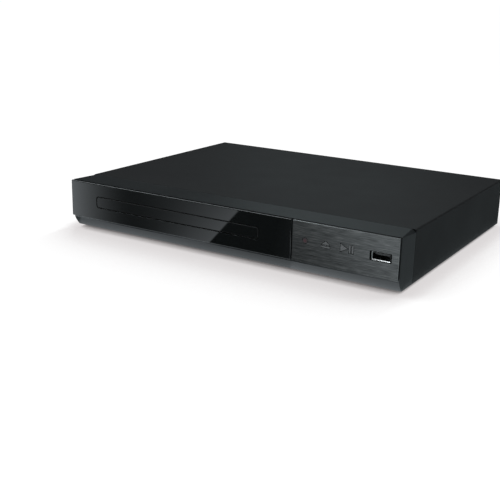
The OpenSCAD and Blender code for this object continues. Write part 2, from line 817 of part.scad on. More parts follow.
module front_bezel() color([0.2, 0.22, 0.22]) from_front() {
  front_in = bezel_y + bezel_wall;
  difference() {
    union() {
      run_right(-half_w, half_w) chin_outline(0, bezel_back);
      block([groove_in - half_w, plate_t, plate_z + groove_in],
        [half_w - groove_in, bezel_y + eps, cab_top - groove_in]);
      // Tongue under the cover
      block([-inner_w, bezel_back - bezel_wall, roof_z - bezel_lap_t],
        [inner_w, cover_y + bezel_lap, roof_z]);
    }
    run_right(bezel_wall - half_w, half_w - bezel_wall) chin_outline(bezel_wall, cover_y + 2 * bezel_lap);
    run_back(-over, front_in + over) bezel_openings();
    for (s = [0, 1]) mirror([s, 0, 0]) bezel_bevel();
  }
  // Posts behind the front board and the shelf under the data socket's board
  inset = [board_post_in, -board_post_in];
  for (x = front_board_x + inset, z = front_board_z + inset)
    bar_y(x, front_in - eps, board_front_y, z, board_post_r);
  block([usb_x - usb_shelf[0], front_in - eps, usb_board_z - usb_shelf[2]],
    [half_w - bezel_wall + eps, usb_shelf[1], usb_board_z]);
}

// Tray with its recesses, slot, rack and the slanted ribs underneath
module window_outline() {
  translate([tray_x, disc_y]) circle(window_w / 2);
  translate([tray_x - window_w / 2, disc_y]) square([window_w, tray_back + over - disc_y]);
}
function groove_at(y) = [cam_pin[0] + (y - cam_pin[1]) * tan(groove_slope), y];
module disc_tray() color([0.13, 0.13, 0.14]) from_front() {
  difference() {
    block([tray_x - tray_half, door_t, tray_low], [tray_x + tray_half, tray_back, tray_top]);
    bar_z(tray_x, disc_y, disc_z, tray_top + over, disc_r);
    bar_z(tray_x, disc_y, small_disc_z, tray_top + over, small_disc_r);
    translate([0, 0, tray_low - over]) linear_extrude(tray_t + 2 * over) window_outline();
    // The deck behind the disc is thinned like the recess
    block([tray_x - disc_r, disc_y + disc_r + deck_rim, disc_z],
      [tray_x + disc_r, tray_back + over, tray_top + over]);
  }
  translate([rack_line, drive_y, rack_low]) linear_extrude(rack_h + eps)
    rack(rack_m, -rack_spare * rack_m, tray_travel + rack_spare * rack_m, rack_back - ded * rack_m);
  translate([0, 0, rack_low]) linear_extrude(rack_h + eps)
    for (s = [-1, 1]) {
      side = s * (rib_slot + rib_t) / 2;
      from = groove_at(cam_pin[1] - groove_spare);
      to = groove_at(cam_pin[1] + tray_travel + groove_spare);
      slot(from + [side, 0], to + [side, 0], rib_t / 2);
    }
}

module tray_door() color([0.12, 0.13, 0.13]) from_front() run_back(0, door_t)
  at_door() round_rect(door_w, door_h, door_r);

// Keys: a sign that shows through the plate, a plate behind it and a stem
module key_body(i, w, h) {
  run_back(key_plate_y, key_stem_y) at_key(i) square([w, h], center = true);
  bar_y(key_at[i], key_stem_y - eps, key_stem_end, key_mid_z, key_stem_r);
}
module power_key() color([0.3, 0.08, 0.08]) from_front() {
  bar_y(key_at[0], 0, key_plate_y + eps, key_mid_z, power_r);
  key_body(0, 2 * power_r + key_rim, 2 * power_r + key_rim);
}
module eject_key() color([0.35, 0.36, 0.36]) from_front() {
  run_back(0, key_plate_y + eps) at_key(1) eject_sign();
  key_body(1, eject_w + key_rim, eject_h + key_rim);
}
module play_key() color([0.35, 0.36, 0.36]) from_front() {
  run_back(0, key_plate_y + eps) at_key(2) play_sign();
  key_body(2, play_w + 2 * bar_t, play_h + key_rim);
}

// Data socket: a folded shell, its tongue and its board
module usb_bore() at_usb() square([usb_w, usb_h] - 2 * [usb_t, usb_t], center = true);
module usb_shell() color([0.75, 0.76, 0.78]) from_front() difference() {
  run_back(usb_shell_y, usb_shell_y + usb_d) at_usb() round_rect(usb_w, usb_h, usb_corner);
  run_back(usb_shell_y - over, usb_back) usb_bore();
}
module usb_tongue() color([0.05, 0.05, 0.06]) from_front() {
  top = usb_mid_z + usb_h / 2 - usb_t - tongue_drop;
  base_y = usb_back - usb_base;
  block([usb_x - tongue_w / 2, base_y - tongue_d, top - tongue_t], [usb_x + tongue_w / 2, base_y + eps, top]);
  run_back(base_y, usb_back) usb_bore();
}
module usb_board() color([0.1, 0.3, 0.16]) from_front()
  block([usb_x - usb_board_left, usb_board_y[0], usb_board_z],
    [half_w - bezel_wall - bezel_seam, usb_board_y[1], usb_board_z + board_t]);

// Board behind the keys, with its switches, remote eye and lamp
module front_board() color([0.1, 0.3, 0.16]) from_front()
  block([front_board_x[0], board_front_y, front_board_z[0]],
    [front_board_x[1], board_front_y + board_t, front_board_z[1]]);
module key_switches() color([0.2, 0.2, 0.22]) from_front() for (i = [0:2]) {
  run_back(board_front_y - switch_h, board_front_y) at_key(i) square(switch_w, center = true);
  bar_y(key_at[i], plunger_y, board_front_y - switch_h + eps, key_mid_z, plunger_r);
}
module remote_eye() color([0.08, 0.05, 0.06]) from_front() {
  x = (key_at[0] + key_at[1]) / 2;
  z = key_mid_z + eye[3] / 3;
  run_back(board_front_y - eye[1], board_front_y) translate([x, z]) square([eye[0], eye[2]], center = true);
  translate([x, board_front_y - eye[1], z]) sphere(eye[3]);
}
module standby_lamp() color([0.8, 0.1, 0.1]) from_front() {
  bar_y(key_at[0], board_front_y - lamp[1], board_front_y, lamp_z, lamp[0]);
  translate([key_at[0], board_front_y - lamp[1], lamp_z]) sphere(lamp[0]);
}

// Cover: one folded sheet with a lip down over the rear panel
module cover_outline(w, top, r) {
  translate([-w, cab_low]) square([2 * w, top - cab_low - r]);
  translate([r - w, cab_low]) square([2 * (w - r), top - cab_low]);
  for (s = [-1, 1]) translate([s * (w - r), top - r]) circle(r);
}
module top_cover() color([0.17, 0.17, 0.17]) from_front() difference() {
  run_back(cover_y, cab_d) cover_outline(half_w, cab_top, bend_r);
  run_back(cover_y - over, cab_d - cover_t) cover_outline(inner_w, roof_z, bend_r - cover_t);
  block([-inner_w, cover_y - over, cab_low - over], [inner_w, cab_d - cover_t, cab_low + over]);
  block([-inner_w, cab_d - cover_t - over, cab_low - over], [inner_w, cab_d + over, roof_z - cover_lip]);
  for (x = cover_screw_x) bar_y(x, cab_d - 2 * cover_t, cab_d + over, cover_screw_z, screw_r);
}
module cover_screws() color([0.6, 0.6, 0.62]) from_front() for (x = cover_screw_x) difference() {
  union() {
    bar_y(x, cab_d, cab_d + cover_head[1], cover_screw_z, cover_screw_r * cover_head[0]);
    bar_y(x, rear_y - 2 * screw_lead, cab_d + eps, cover_screw_z, screw_r);
  }
  for (t = [0, quarter])
    translate([x, cab_d + cover_head[1], cover_screw_z]) rotate([0, t, 0]) cube(cross_cut, center = true);
}

// Chassis: a folded tray with standoffs, feet holes and vents
module bottom_chassis() color([0.66, 0.67, 0.68]) from_front() difference() {
  union() {
    block([-inner_w, cover_y, cab_low], [inner_w, rear_y + rear_t, floor_z]);
    for (s = [0, 1]) mirror([s, 0, 0])
      block([inner_w - chassis_t, cover_y + bezel_lap + over, floor_z - eps],
        [inner_w, rear_y - over / 2, floor_z + chassis_flange]);
    for (p = board_holes) bar_z(p[0], p[1], floor_z - eps, board_z, standoff_r);
  }
  for (p = board_holes) bar_z(p[0], p[1], cab_low + chassis_t / 2, board_z + over, screw_r);
  for (p = loader_lugs) bar_z(p[0], p[1], cab_low - over, floor_z + over, screw_r);
  for (p = feet) bar_z(p[0], p[1], cab_low - over, floor_z + over, foot_stem_r);
  for (i = [0:floor_vents - 1])
    translate([inlet_x - floor_vent / 2, foot_end + (4 + 2 * i) * vent_w, cab_low - over])
      cube([floor_vent, vent_w, chassis_t + 2 * over]);
}
module rubber_feet() color([0.07, 0.07, 0.07]) from_front() for (p = feet) {
  bar_z(p[0], p[1], 0, foot_h, foot_r);
  bar_z(p[0], p[1], foot_h - eps, floor_z, foot_stem_r);
  bar_z(p[0], p[1], floor_z, floor_z + foot_button[1], foot_button[0]);
}

// Rear panel with the sockets' holes and the vents
module inlet_outline(r) slot([-inlet_pitch / 2, 0], [inlet_pitch / 2, 0], r);
module rear_panel() color([0.16, 0.16, 0.17]) from_front() difference() {
  run_back(rear_y, rear_y + rear_t) intersection() {
    cover_outline(inner_w, roof_z, bend_r - cover_t);
    translate([-half_w, floor_z]) square([cab_w, cab_h]);
  }
  run_back(rear_y - over, cab_d) {
    for (x = jack_x) translate([x, jack_mid_z]) circle(jack_neck_r);
    translate([inlet_x, inlet_z]) inlet_outline(inlet_r + inlet_wall);
    for (x = cover_screw_x) translate([x, cover_screw_z]) circle(screw_r);
    for (i = [0:rear_vents - 1])
      translate([rear_vent[0] - half_w + i * vent_step, cab_low + rear_vent[1]])
        square([vent_w, rear_vent[2]]);
  }
}

// Loader frame: two walls with the tray's guides, a deck at the front and two beams at the back
module loader_side() {
  block([wall_in, loader_y, loader_low], [wall_out, loader_back, wall_top]);
  block([wall_in - ledge_w, loader_y, tray_low - guide_gap - ledge_t],
    [wall_in + eps, loader_back, tray_low - guide_gap]);
  for (at = finger_at) {
    y = loader_y + at * loader_d;
    block([wall_in - ledge_w, y, tray_top + guide_gap], [wall_in + eps, y + finger_d, wall_top]);
  }
}
module wheel_posts() {
  bar_z(drive_x, drive_y, deck_top - eps, rack_wheel_z + wheel_h, post_r);
  bar_z(pulley_x, pulley_y, deck_top - eps, train_z + train_h + wheel_gap / 2, post_r);
  for (p = [[drive_x, drive_y], [pulley_x, pulley_y]])
    bar_z(p[0], p[1], deck_top - eps, pulley_z - wheel_gap / 3, post_r + over);
}
module cross_beam(y, depth, top)
  block([tray_x - wall_in - eps, y, loader_low], [tray_x + wall_in + eps, y + depth, top]);
module loader_frame() color([0.2, 0.2, 0.21]) from_front() {
  translate([tray_x, 0, 0]) for (s = [0, 1]) mirror([s, 0, 0]) loader_side();
  difference() {
    block([tray_x - wall_in - eps, loader_y, deck_z], [tray_x + wall_in + eps, loader_y + deck_d, deck_top]);
    bar_z(motor_x, motor_y, deck_z - over, deck_top + over, screw_lead);
  }
  wheel_posts();
  for (p = cam_posts) bar_z(p[0], p[1], deck_top - eps, cam_z + cam_t + 2 * wheel_gap, cam_post_r);
  cross_beam(beam_y, beam_t, unit_top);
  cross_beam(loader_back - beam_t, beam_t, wall_top - 2);
  for (x = bush_x) difference() {
    block([x, bracket_y, loader_low], [x + bush_len, beam_y + eps, pivot_z + bush_r + bracket_rim]);
    bar_x(x - over, x + bush_len + over, pivot_y, pivot_z, bush_r);
  }
  for (p = loader_lugs) difference() {
    union() {
      bar_z(p[0], p[1], floor_z, floor_z + lug_h, lug_r);
      translate([p[0] - (p[0] < tray_x ? 0 : lug_reach + eps), p[1] - lug_r, floor_z + lug_web])
        cube([lug_reach + eps, 2 * lug_r, lug_h - lug_web]);
    }
    bar_z(p[0], p[1], floor_z - over, floor_z + lug_h + over, screw_r);
  }
}
module loader_screws() color([0.6, 0.6, 0.62]) from_front() for (p = loader_lugs) {
  bar_z(p[0], p[1], cab_low, floor_z + lug_h + eps, screw_r);
  bar_z(p[0], p[1], floor_z + lug_h, floor_z + lug_h + screw_head, board_screw_r);
}

// Loading motor, belt and gears
module loading_motor() color([0.7, 0.7, 0.72]) from_front() difference() {
  bar_z(motor_x, motor_y, deck_z - motor_h, deck_z, motor_r);
  bar_z(motor_x, motor_y, deck_z - motor_h + shaft_seat, deck_z + over, motor_shaft_r + shaft_gap);
}
module motor_pulley() color([0.85, 0.83, 0.78]) from_front() {
  translate([motor_x, motor_y, pulley_z]) pulley(motor_pulley_r);
  bar_z(motor_x, motor_y, deck_z - motor_h + shaft_seat + shaft_end, pulley_z + eps, motor_shaft_r);
}
module drive_belt() color([0.05, 0.05, 0.05]) from_front()
  translate([0, 0, pulley_z + (pulley_w - belt_t) / 2]) linear_extrude(belt_t) difference() {
    belt_area(pulley_r + belt_t, motor_pulley_r + belt_t);
    belt_area(pulley_r, motor_pulley_r);
  }
module pulley_gear() color([0.9, 0.88, 0.82]) from_front() translate([pulley_x, pulley_y, 0]) difference() {
  low = pulley_z + pulley_w;
  top = train_z + train_h + wheel_gap / 3;
  union() {
    translate([0, 0, pulley_z]) pulley(pulley_r);
    gear(train_m, pinion_teeth, low - eps, top - low, meshing(train_angle, pinion_teeth));
  }
  bar_z(0, 0, pulley_z - over, top + over, post_r + shaft_gap);
}
module drive_gear() color([0.9, 0.88, 0.82]) from_front() translate([drive_x, drive_y, 0]) difference() {
  union() {
    gear(rack_m, rack_teeth, rack_wheel_z, wheel_h, half_turn);
    gear(train_m, wheel_teeth, train_z, train_h, train_angle);
    bar_z(0, 0, pulley_z, rack_wheel_z + eps, post_r + bush_w);
  }
  bar_z(0, 0, pulley_z - over, rack_wheel_z + wheel_h + over, post_r + shaft_gap);
}

// Cam slider: slotted plate on the deck, pin in the tray's groove, wall with two slanted slots
module cam_slider() color([0.88, 0.86, 0.8]) from_front() {
  wall_low = unit_pin_z - cam_drop - cam_wall_low;
  difference() {
    block([cam_posts[0][0] - cam_travel - cam_end, cam_pin[1] - cam_edge, cam_z],
      [cam_posts[1][0] + cam_end, cam_wall_y + eps, cam_z + cam_t]);
    translate([0, 0, cam_z - over]) linear_extrude(cam_t + 2 * over)
      for (p = cam_posts) slot(p - [cam_travel, 0], p, cam_post_r + slot_gap);
  }
  bar_z(cam_pin[0], cam_pin[1], cam_z + cam_t - eps, tray_low - 0.4, cam_pin_r);
  run_back(cam_wall_y, cam_wall_y + cam_wall_t) difference() {
    translate([unit_pins[0] - cam_travel - cam_wall_end, wall_low])
      square([unit_pins[1] - unit_pins[0] + cam_travel + 2 * cam_wall_end, cam_z + cam_t - wall_low]);
    for (x = unit_pins) slot([x - cam_travel, unit_pin_z - cam_drop], [x, unit_pin_z], unit_pin_r + slot_gap);
  }
}

// Disc clamp: a bridge on the loader's walls, with a clamp that hangs in its hole
module clamp_bridge() color([0.2, 0.2, 0.21]) from_front() difference() {
  y = [disc_y - bridge_w / 2, disc_y + bridge_w / 2];
  union() {
    block([tray_x - wall_out, y[0], bridge_z], [tray_x + wall_out, y[1], bridge_z + bridge_t]);
    for (x = [tray_x - wall_out, tray_x + wall_in])
      block([x, y[0], wall_top], [x + loader_wall, y[1], bridge_z + eps]);
  }
  bar_z(tray_x, disc_y, bridge_z - over, bridge_z + bridge_t + over, clamp_neck_r + clamp_play);
}
module disc_clamp() color([0.85, 0.85, 0.84]) from_front() translate([tray_x, disc_y, 0]) difference() {
  union() {
    bar_z(0, 0, clamp_z, clamp_z + clamp_flange, clamp_r);
    bar_z(0, 0, clamp_z, clamp_top, clamp_neck_r);
    bar_z(0, 0, clamp_cap_z, clamp_top, clamp_neck_r + clamp_ring);
  }
  bar_z(0, 0, clamp_z - over, clamp_z + hub_dish[1], hub_r + hub_dish[0]);
  bar_z(0, 0, magnet_z, clamp_top + over, magnet_r);
}
module clamp_magnet() color([0.45, 0.45, 0.47]) from_front()
  bar_z(tray_x, disc_y, magnet_z, clamp_top, magnet_r);

// Drive unit: a plate with folded edges, pivot pins at the back and cam pins at the front
module unit_frame() color([0.24, 0.24, 0.25]) from_front() {
  difference() {
    block([unit_x0, unit_y, unit_z], [unit_x1, unit_back, unit_top]);
    block([tray_x - lens_room[0], sled_y0 - lens_room[1], unit_z - over],
      [tray_x + lens_room[0], rod_rear - lens_room[1], unit_top + over]);
    bar_z(feed_motor_x, feed_motor_y, unit_z - over, unit_top + over, feed_hole_r);
  }
  for (x = [unit_x0, unit_x1 - unit_t]) {
    block([x, unit_y, unit_z - unit_side], [x + unit_t, unit_back, unit_z + eps]);
    block([x, pivot_y - pivot_ear, pivot_z - pivot_r - pivot_rim], [x + unit_t, unit_back, unit_z + eps]);
  }
  block([unit_x0, unit_y, unit_pin_z - unit_front], [unit_x1, unit_y + unit_t, unit_z + eps]);
  block([unit_x0, unit_back - unit_t, unit_z - unit_rear], [unit_x1, unit_back, unit_z + eps]);
  for (x = unit_pins) bar_y(x, cam_wall_y - clamp_play, unit_y + eps, unit_pin_z, unit_pin_r);
  bar_x(bush_x[0], unit_x0 + eps, pivot_y, pivot_z, pivot_r);
  bar_x(unit_x1 - eps, bush_x[1] + bush_len, pivot_y, pivot_z, pivot_r);
  for (x = rod_x, y = [rod_front, rod_rear]) difference() {
    block([x - rod_block[0], y, rod_z - rod_block[2]], [x + rod_block[0], y + rod_block[1], unit_z + eps]);
    bar_y(x, y - over, y + rod_block[1] + over, rod_z, rod_r);
  }
  bar_z(feed_x, feed_y, feed_small_z - wheel_gap, unit_z + eps, feed_post_r);
}
module pivot_bushes() color([0.1, 0.1, 0.1]) from_front() for (x = bush_x) difference() {
  bar_x(x, x + bush_len, pivot_y, pivot_z, bush_r);
  bar_x(x - over, x + bush_len + over, pivot_y, pivot_z, pivot_r + shaft_gap);
}
module spindle_motor() color([0.7, 0.7, 0.72]) from_front() translate([tray_x, disc_y, 0]) difference() {
  union() {
    bar_z(0, 0, spindle_z, spindle_z + spindle_h - spindle_step[1], spindle_r);
    bar_z(0, 0, spindle_z, spindle_z + spindle_h, spindle_r - spindle_step[0]);
  }
  bar_z(0, 0, spindle_z + shaft_seat, spindle_z + spindle_h + over, motor_shaft_r + shaft_gap);
}
module turntable() color([0.16, 0.16, 0.17]) from_front() translate([tray_x, disc_y, 0]) {
  foot = spindle_z + shaft_seat + 2 * shaft_end;
  low = spindle_z + spindle_h + wheel_gap;
  seat = turntable_top - pad_t;
  tip = clamp_z + wheel_gap;
  rotate_extrude() polygon([
    [0, foot], [motor_shaft_r, foot], [motor_shaft_r, low], [turntable_r, low],
    [turntable_r, seat], [hub_r, seat], [hub_r, turntable_top + hub_lip], [hub_r - hub_cone, tip], [0, tip]
  ]);
}
module turntable_pad() color([0.06, 0.06, 0.06]) from_front() difference() {
  bar_z(tray_x, disc_y, turntable_top - pad_t, turntable_top, turntable_r - pad_rim);
  bar_z(tray_x, disc_y, turntable_top - over, turntable_top + over, turntable_r - pad_rim - pad_w);
}

// Pickup: a sled on two rods, with its lens housing and its rack
module guide_rods() color([0.8, 0.8, 0.82]) from_front()
  for (x = rod_x) bar_y(x, rod_front, rod_rear + rod_block[1], rod_z, rod_r);
module pickup_sled() color([0.3, 0.3, 0.31]) from_front() difference() {
  y1 = sled_y0 + sled_d;
  hole_r = rod_r + shaft_gap;
  union() {
    block([tray_x - sled_half, sled_y0, sled_z], [tray_x + sled_half, y1, sled_top]);
    block([tray_x - lens_box_w / 2, sled_y0 + rod_spare, sled_top - eps],
      [tray_x + lens_box_w / 2, sled_y0 + rod_spare + lens_box_d, lens_top - over]);
  }
  bar_y(rod_x[1], sled_y0 - over, y1 + over, rod_z, hole_r);
  block([tray_x - sled_half - over, sled_y0 - over, rod_z - hole_r],
    [rod_x[0] + rod_r + over / 2, y1 + over, rod_z + hole_r]);
  bar_z(tray_x, lens_y, lens_top - lens_stage[0], lens_top, lens_r + lens_base);
  block([tray_x - sled_half + sled_side, sled_y0 + sled_rim, sled_z - over],
    [tray_x + sled_half - sled_side, y1 - sled_rim, sled_z + sled_hollow]);
}
module pickup_lens() color([0.35, 0.45, 0.6]) from_front() translate([tray_x, lens_y, 0]) {
  curve = 3 * lens_r;
  bar_z(0, 0, lens_top - lens_stage[0], lens_top - lens_stage[1], lens_r + lens_base);
  intersection() {
    bar_z(0, 0, lens_top - over, lens_top, lens_r);
    translate([0, 0, lens_top - curve]) sphere(curve);
  }
}
module feed_rack() color([0.88, 0.86, 0.8]) from_front() {
  back = feed_line - tray_x - sled_half - ded * feed_m;
  translate([feed_line, feed_y, feed_small_z + wheel_gap]) linear_extrude(feed_rack_h)
    rack(feed_m, -pickup_travel - feed_rack_spare, feed_rack_spare, back);
}
module feed_wheel() color([0.9, 0.88, 0.82]) from_front() translate([feed_x, feed_y, 0]) difference() {
  union() {
    gear(feed_m, feed_small_teeth, feed_small_z, feed_small_h + eps, half_turn);
    gear(feed_fine_m, feed_large_teeth, feed_large_z, feed_ring_h, feed_angle);
  }
  bar_z(0, 0, feed_small_z - over, unit_z, feed_post_r + shaft_gap);
}
module feed_motor() color([0.7, 0.7, 0.72]) from_front() difference() {
  top = unit_top + feed_motor_h;
  bar_z(feed_motor_x, feed_motor_y, unit_top, top, feed_motor_r);
  bar_z(feed_motor_x, feed_motor_y, unit_top - over, top - 3 * shaft_end, motor_shaft_r + shaft_gap);
}
module feed_pinion() color([0.85, 0.8, 0.5]) from_front() translate([feed_motor_x, feed_motor_y, 0]) {
  turn = meshing(feed_angle, feed_pinion_teeth);
  gear(feed_fine_m, feed_pinion_teeth, feed_large_z - shaft_end, feed_ring_h + shaft_end, turn);
  bar_z(0, 0, feed_large_z + feed_ring_h - eps, unit_top + feed_motor_h - 4 * shaft_end, motor_shaft_r);
}

// Main board with its chips, heat sink, capacitors and sockets
module drilled_board(x0, x1, depth, holes) difference() {
  block([x0, board_back - depth, board_z], [x1, board_back, board_top]);
  for (p = holes) bar_z(p[0], p[1], board_z - over, board_top + over, screw_r);
}
module on_board(x0, w, depth, across, back)
  translate([x0 + across * w, board_back - back * depth, board_top]) children();
module centred(w, d, h) translate([-w / 2, -d / 2, 0]) cube([w, d, h]);
module on_main(across, back) on_board(main_x0, main_w, main_d, across, back) children();
module on_power(across, back) on_board(power_x0, power_w, power_d, across, back) children();

module main_board() color([0.08, 0.28, 0.14]) from_front()
  drilled_board(main_x0, main_x1, main_d, main_holes);
module board_chips() color([0.06, 0.06, 0.07]) from_front()
  for (c = chips) on_main(c[0], c[1]) centred(c[2], c[2], c[3]);
module heat_sink() color([0.75, 0.76, 0.78]) from_front()
  on_main(chips[0][0], chips[0][1]) translate([0, 0, chips[0][3]]) {
    centred(sink_side, sink_side, sink_base);
    for (i = [0:fins - 1])
      translate([(i / (fins - 1) - 1 / 2) * (sink_side - fin_t), 0, 0]) centred(fin_t, sink_side, sink_h);
  }
module can(size) cylinder(h = size[1], r = size[0]);
module signal_capacitors() color([0.1, 0.12, 0.25]) from_front() {
  pitch = (main_w - 2 * can_in) / 3;
  for (i = [0:3]) translate([can_in + i * pitch, 0, 0]) on_main(0, can_rows[0]) can(signal_can);
  for (i = [1, 2]) translate([-can_in, 0, 0]) on_main(1, can_rows[i]) can(supply_can);
}
module board_sockets() color([0.92, 0.9, 0.84]) from_front() {
  for (s = sockets) on_main(s[0], s[1]) cube([s[2], s[3], s[4]]);
  on_power(power_socket[0], power_socket[1]) cube([power_socket[2], power_socket[3], power_socket[4]]);
}
module board_screws() color([0.6, 0.6, 0.62]) from_front() for (p = board_holes) {
  bar_z(p[0], p[1], cab_low + chassis_t / 2, board_top + eps, screw_r);
  bar_z(p[0], p[1], board_top, board_top + screw_head, board_screw_r);
}

// Power board
module power_board() color([0.62, 0.5, 0.3]) from_front()
  drilled_board(power_x0, power_x1, power_d, power_holes);
module transformer() color([0.75, 0.6, 0.25]) from_front() on_power(1 / 2, transformer_at) {
  centred(bobbin[0], bobbin[1], bobbin[2]);
  translate([0, 0, bobbin[2] - eps]) centred(core[0], core[1], core[2]);
  translate([0, 0, bobbin[2] - eps]) cylinder(h = winding[1], r = winding[0]);
}
module mains_capacitor() color([0.1, 0.1, 0.1]) from_front()
  bar_y(power_x0 + mains_can[0] * power_w, board_back - mains_can[1] * power_d,
    board_back - mains_can[2] * power_d, board_top + mains_can_r, mains_can_r);
module power_parts() color([0.3, 0.3, 0.34]) from_front() {
  for (i = [0:2]) on_power(power_cans[0] + i * power_cans[1], power_cans[2]) can(power_can);
  on_power(sink_plate[0], sink_plate[1]) cube([sink_plate[2], sink_plate[3], sink_plate[4]]);
  bar_y(power_x0 + fuse[0] * power_w, board_back - fuse[1] * power_d,
    board_back - fuse[2] * power_d, board_top + fuse_r, fuse_r);
}

// Rear sockets
module jack_block() color([0.05, 0.05, 0.06]) from_front() difference() {
  block([jack_x[0] - jack_rim, rear_y - jack_depth, board_top],
    [jack_x[2] + jack_rim, rear_y, jack_mid_z + jack_rim]);
  for (x = jack_x) bar_y(x, rear_y - jack_depth + jack_floor, cab_d, jack_mid_z, jack_neck_r);
}
module jack_barrels() color([0.8, 0.8, 0.8]) from_front() for (x = jack_x) difference() {
  union() {
    bar_y(x, rear_y - jack_depth + jack_floor, rear_y + rear_t + eps, jack_mid_z, jack_neck_r);
    bar_y(x, rear_y + rear_t, cab_d + jack_out, jack_mid_z, jack_r);
  }
  bar_y(x, rear_y - jack_depth, cab_d + jack_out + over, jack_mid_z, jack_neck_r - jack_wall);
}
module jack_inserts() color([0.8, 0.7, 0.1]) from_front() for (x = jack_x) difference() {
  face = cab_d + jack_out - jack_step;
  bar_y(x, rear_y - jack_depth + jack_floor, face, jack_mid_z, jack_neck_r - jack_wall);
  bar_y(x, rear_y - jack_bore, cab_d + jack_out + over, jack_mid_z, jack_bore_r);
}
module mains_inlet() color([0.05, 0.05, 0.06]) from_front() difference() {
  face = cab_d + inlet_lip;
  union() {
    run_back(rear_y - inlet_body, face)
      translate([inlet_x, inlet_z]) inlet_outline(inlet_r + inlet_wall - inlet_gap);
    block([inlet_x - inlet_box[0], rear_y - inlet_box[1], board_top],
      [inlet_x + inlet_box[0], rear_y, inlet_z + inlet_box[2]]);
  }
  run_back(face - inlet_depth, face + over) translate([inlet_x, inlet_z]) inlet_outline(inlet_r);
}
module inlet_pins() color([0.85, 0.8, 0.55]) from_front() for (s = [-1, 1]) {
  x = inlet_x + s * inlet_pitch / 2;
  bar_y(x, cab_d + inlet_lip - inlet_depth, cab_d - inlet_pin_in, inlet_z, inlet_pin_r);
}

front_plate();
control_plate();
front_bezel();
tray_door();
disc_tray();
power_key();
eject_key();
play_key();
usb_shell();
usb_tongue();
usb_board();
front_board();
key_switches();
remote_eye();
standby_lamp();
top_cover();
bottom_chassis();
rear_panel();
cover_screws();
rubber_feet();
loader_frame();
loader_screws();
loading_motor();
motor_pulley();
drive_belt();
pulley_gear();
drive_gear();
cam_slider();
clamp_bridge();
disc_clamp();
clamp_magnet();
unit_frame();
pivot_bushes();
spindle_motor();
turntable();
turntable_pad();
guide_rods();
pickup_sled();
pickup_lens();
feed_rack();
feed_wheel();
feed_motor();
feed_pinion();
main_board();
board_chips();
heat_sink();
signal_capacitors();
board_sockets();
board_screws();
power_board();
transformer();
mains_capacitor();
power_parts();
jack_block();
jack_barrels();
jack_inserts();
mains_inlet();
inlet_pins();
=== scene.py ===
"""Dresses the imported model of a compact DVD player: finishes, small fittings, a pale studio and the camera.

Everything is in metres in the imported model's frame. Lengths are written in bench millimetres: x to the
right, y back from the face of the front plates, z up from the level the player stands on.
"""
import json
import math

import bmesh
import bpy
import numpy as np
from mathutils import Matrix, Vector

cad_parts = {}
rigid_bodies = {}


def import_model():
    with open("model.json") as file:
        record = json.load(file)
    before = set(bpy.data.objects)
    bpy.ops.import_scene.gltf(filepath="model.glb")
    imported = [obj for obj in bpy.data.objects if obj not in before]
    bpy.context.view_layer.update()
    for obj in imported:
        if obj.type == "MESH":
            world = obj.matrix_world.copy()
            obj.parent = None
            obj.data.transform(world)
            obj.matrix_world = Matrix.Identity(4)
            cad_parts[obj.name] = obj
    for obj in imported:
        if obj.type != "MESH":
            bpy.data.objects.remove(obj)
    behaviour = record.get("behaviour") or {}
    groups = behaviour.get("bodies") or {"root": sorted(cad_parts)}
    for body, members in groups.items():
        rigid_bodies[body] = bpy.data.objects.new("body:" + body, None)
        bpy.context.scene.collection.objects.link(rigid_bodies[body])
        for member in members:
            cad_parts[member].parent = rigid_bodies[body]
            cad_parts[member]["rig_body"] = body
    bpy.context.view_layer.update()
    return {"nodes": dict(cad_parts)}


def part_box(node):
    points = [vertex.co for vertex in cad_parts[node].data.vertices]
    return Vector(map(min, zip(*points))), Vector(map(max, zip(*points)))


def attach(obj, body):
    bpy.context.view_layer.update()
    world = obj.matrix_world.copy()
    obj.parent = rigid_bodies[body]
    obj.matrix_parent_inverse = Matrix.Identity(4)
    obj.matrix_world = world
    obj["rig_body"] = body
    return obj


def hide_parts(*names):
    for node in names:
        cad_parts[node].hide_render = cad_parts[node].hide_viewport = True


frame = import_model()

MM = 0.001
FRONT_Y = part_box("front_plate")[0].y
TURN = 2 * math.pi


# ---------------------------------------------------------------- shapes

def place(points):
    """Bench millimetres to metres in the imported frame: (x, y, z) becomes MM (x, y, z) + (0, FRONT_Y, 0)."""
    points = np.asarray(points, float).reshape(-1, 3) * MM
    points[:, 1] += FRONT_Y
    return points


def bench(points):
    """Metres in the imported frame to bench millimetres: the inverse of place."""
    return (np.asarray(points, float) - (0, FRONT_Y, 0)) / MM


def corners(node):
    """Lowest and highest corner of a CAD node in bench millimetres."""
    return bench([[*corner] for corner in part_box(node)])


def read(items, field, width=1, kind=float):
    """One field of all items of a mesh as an array, with a row of width numbers for each item."""
    values = np.empty(len(items) * width, kind)
    items.foreach_get(field, values)
    return values.reshape(-1, width) if width > 1 else values


def new_mesh(name, points, faces, materials):
    """A mesh from points in bench millimetres and lists of their numbers, with its materials."""
    mesh = bpy.data.meshes.new(name)
    mesh.from_pydata(place(points).tolist(), [], np.asarray(faces).tolist())
    for material in materials:
        mesh.materials.append(material)
    return mesh


def new_object(name, data):
    """Puts a mesh, light or camera into the scene as an object at the origin."""
    item = bpy.data.objects.new(name, data)
    bpy.context.scene.collection.objects.link(item)
    return item


def grid_faces(rows, columns, wrap_rows=False, wrap_columns=False, start=0):
    """Quads of a grid stored row by row: corner (i, j) joins (i + 1, j), (i + 1, j + 1) and (i, j + 1)."""
    i, j = np.meshgrid(np.arange(rows if wrap_rows else rows - 1),
                       np.arange(columns if wrap_columns else columns - 1), indexing="ij")
    i2, j2 = (i + 1) % rows, (j + 1) % columns
    quads = np.stack([i * columns + j, i2 * columns + j, i2 * columns + j2, i * columns + j2], axis=-1)
    return quads.reshape(-1, 4) + start


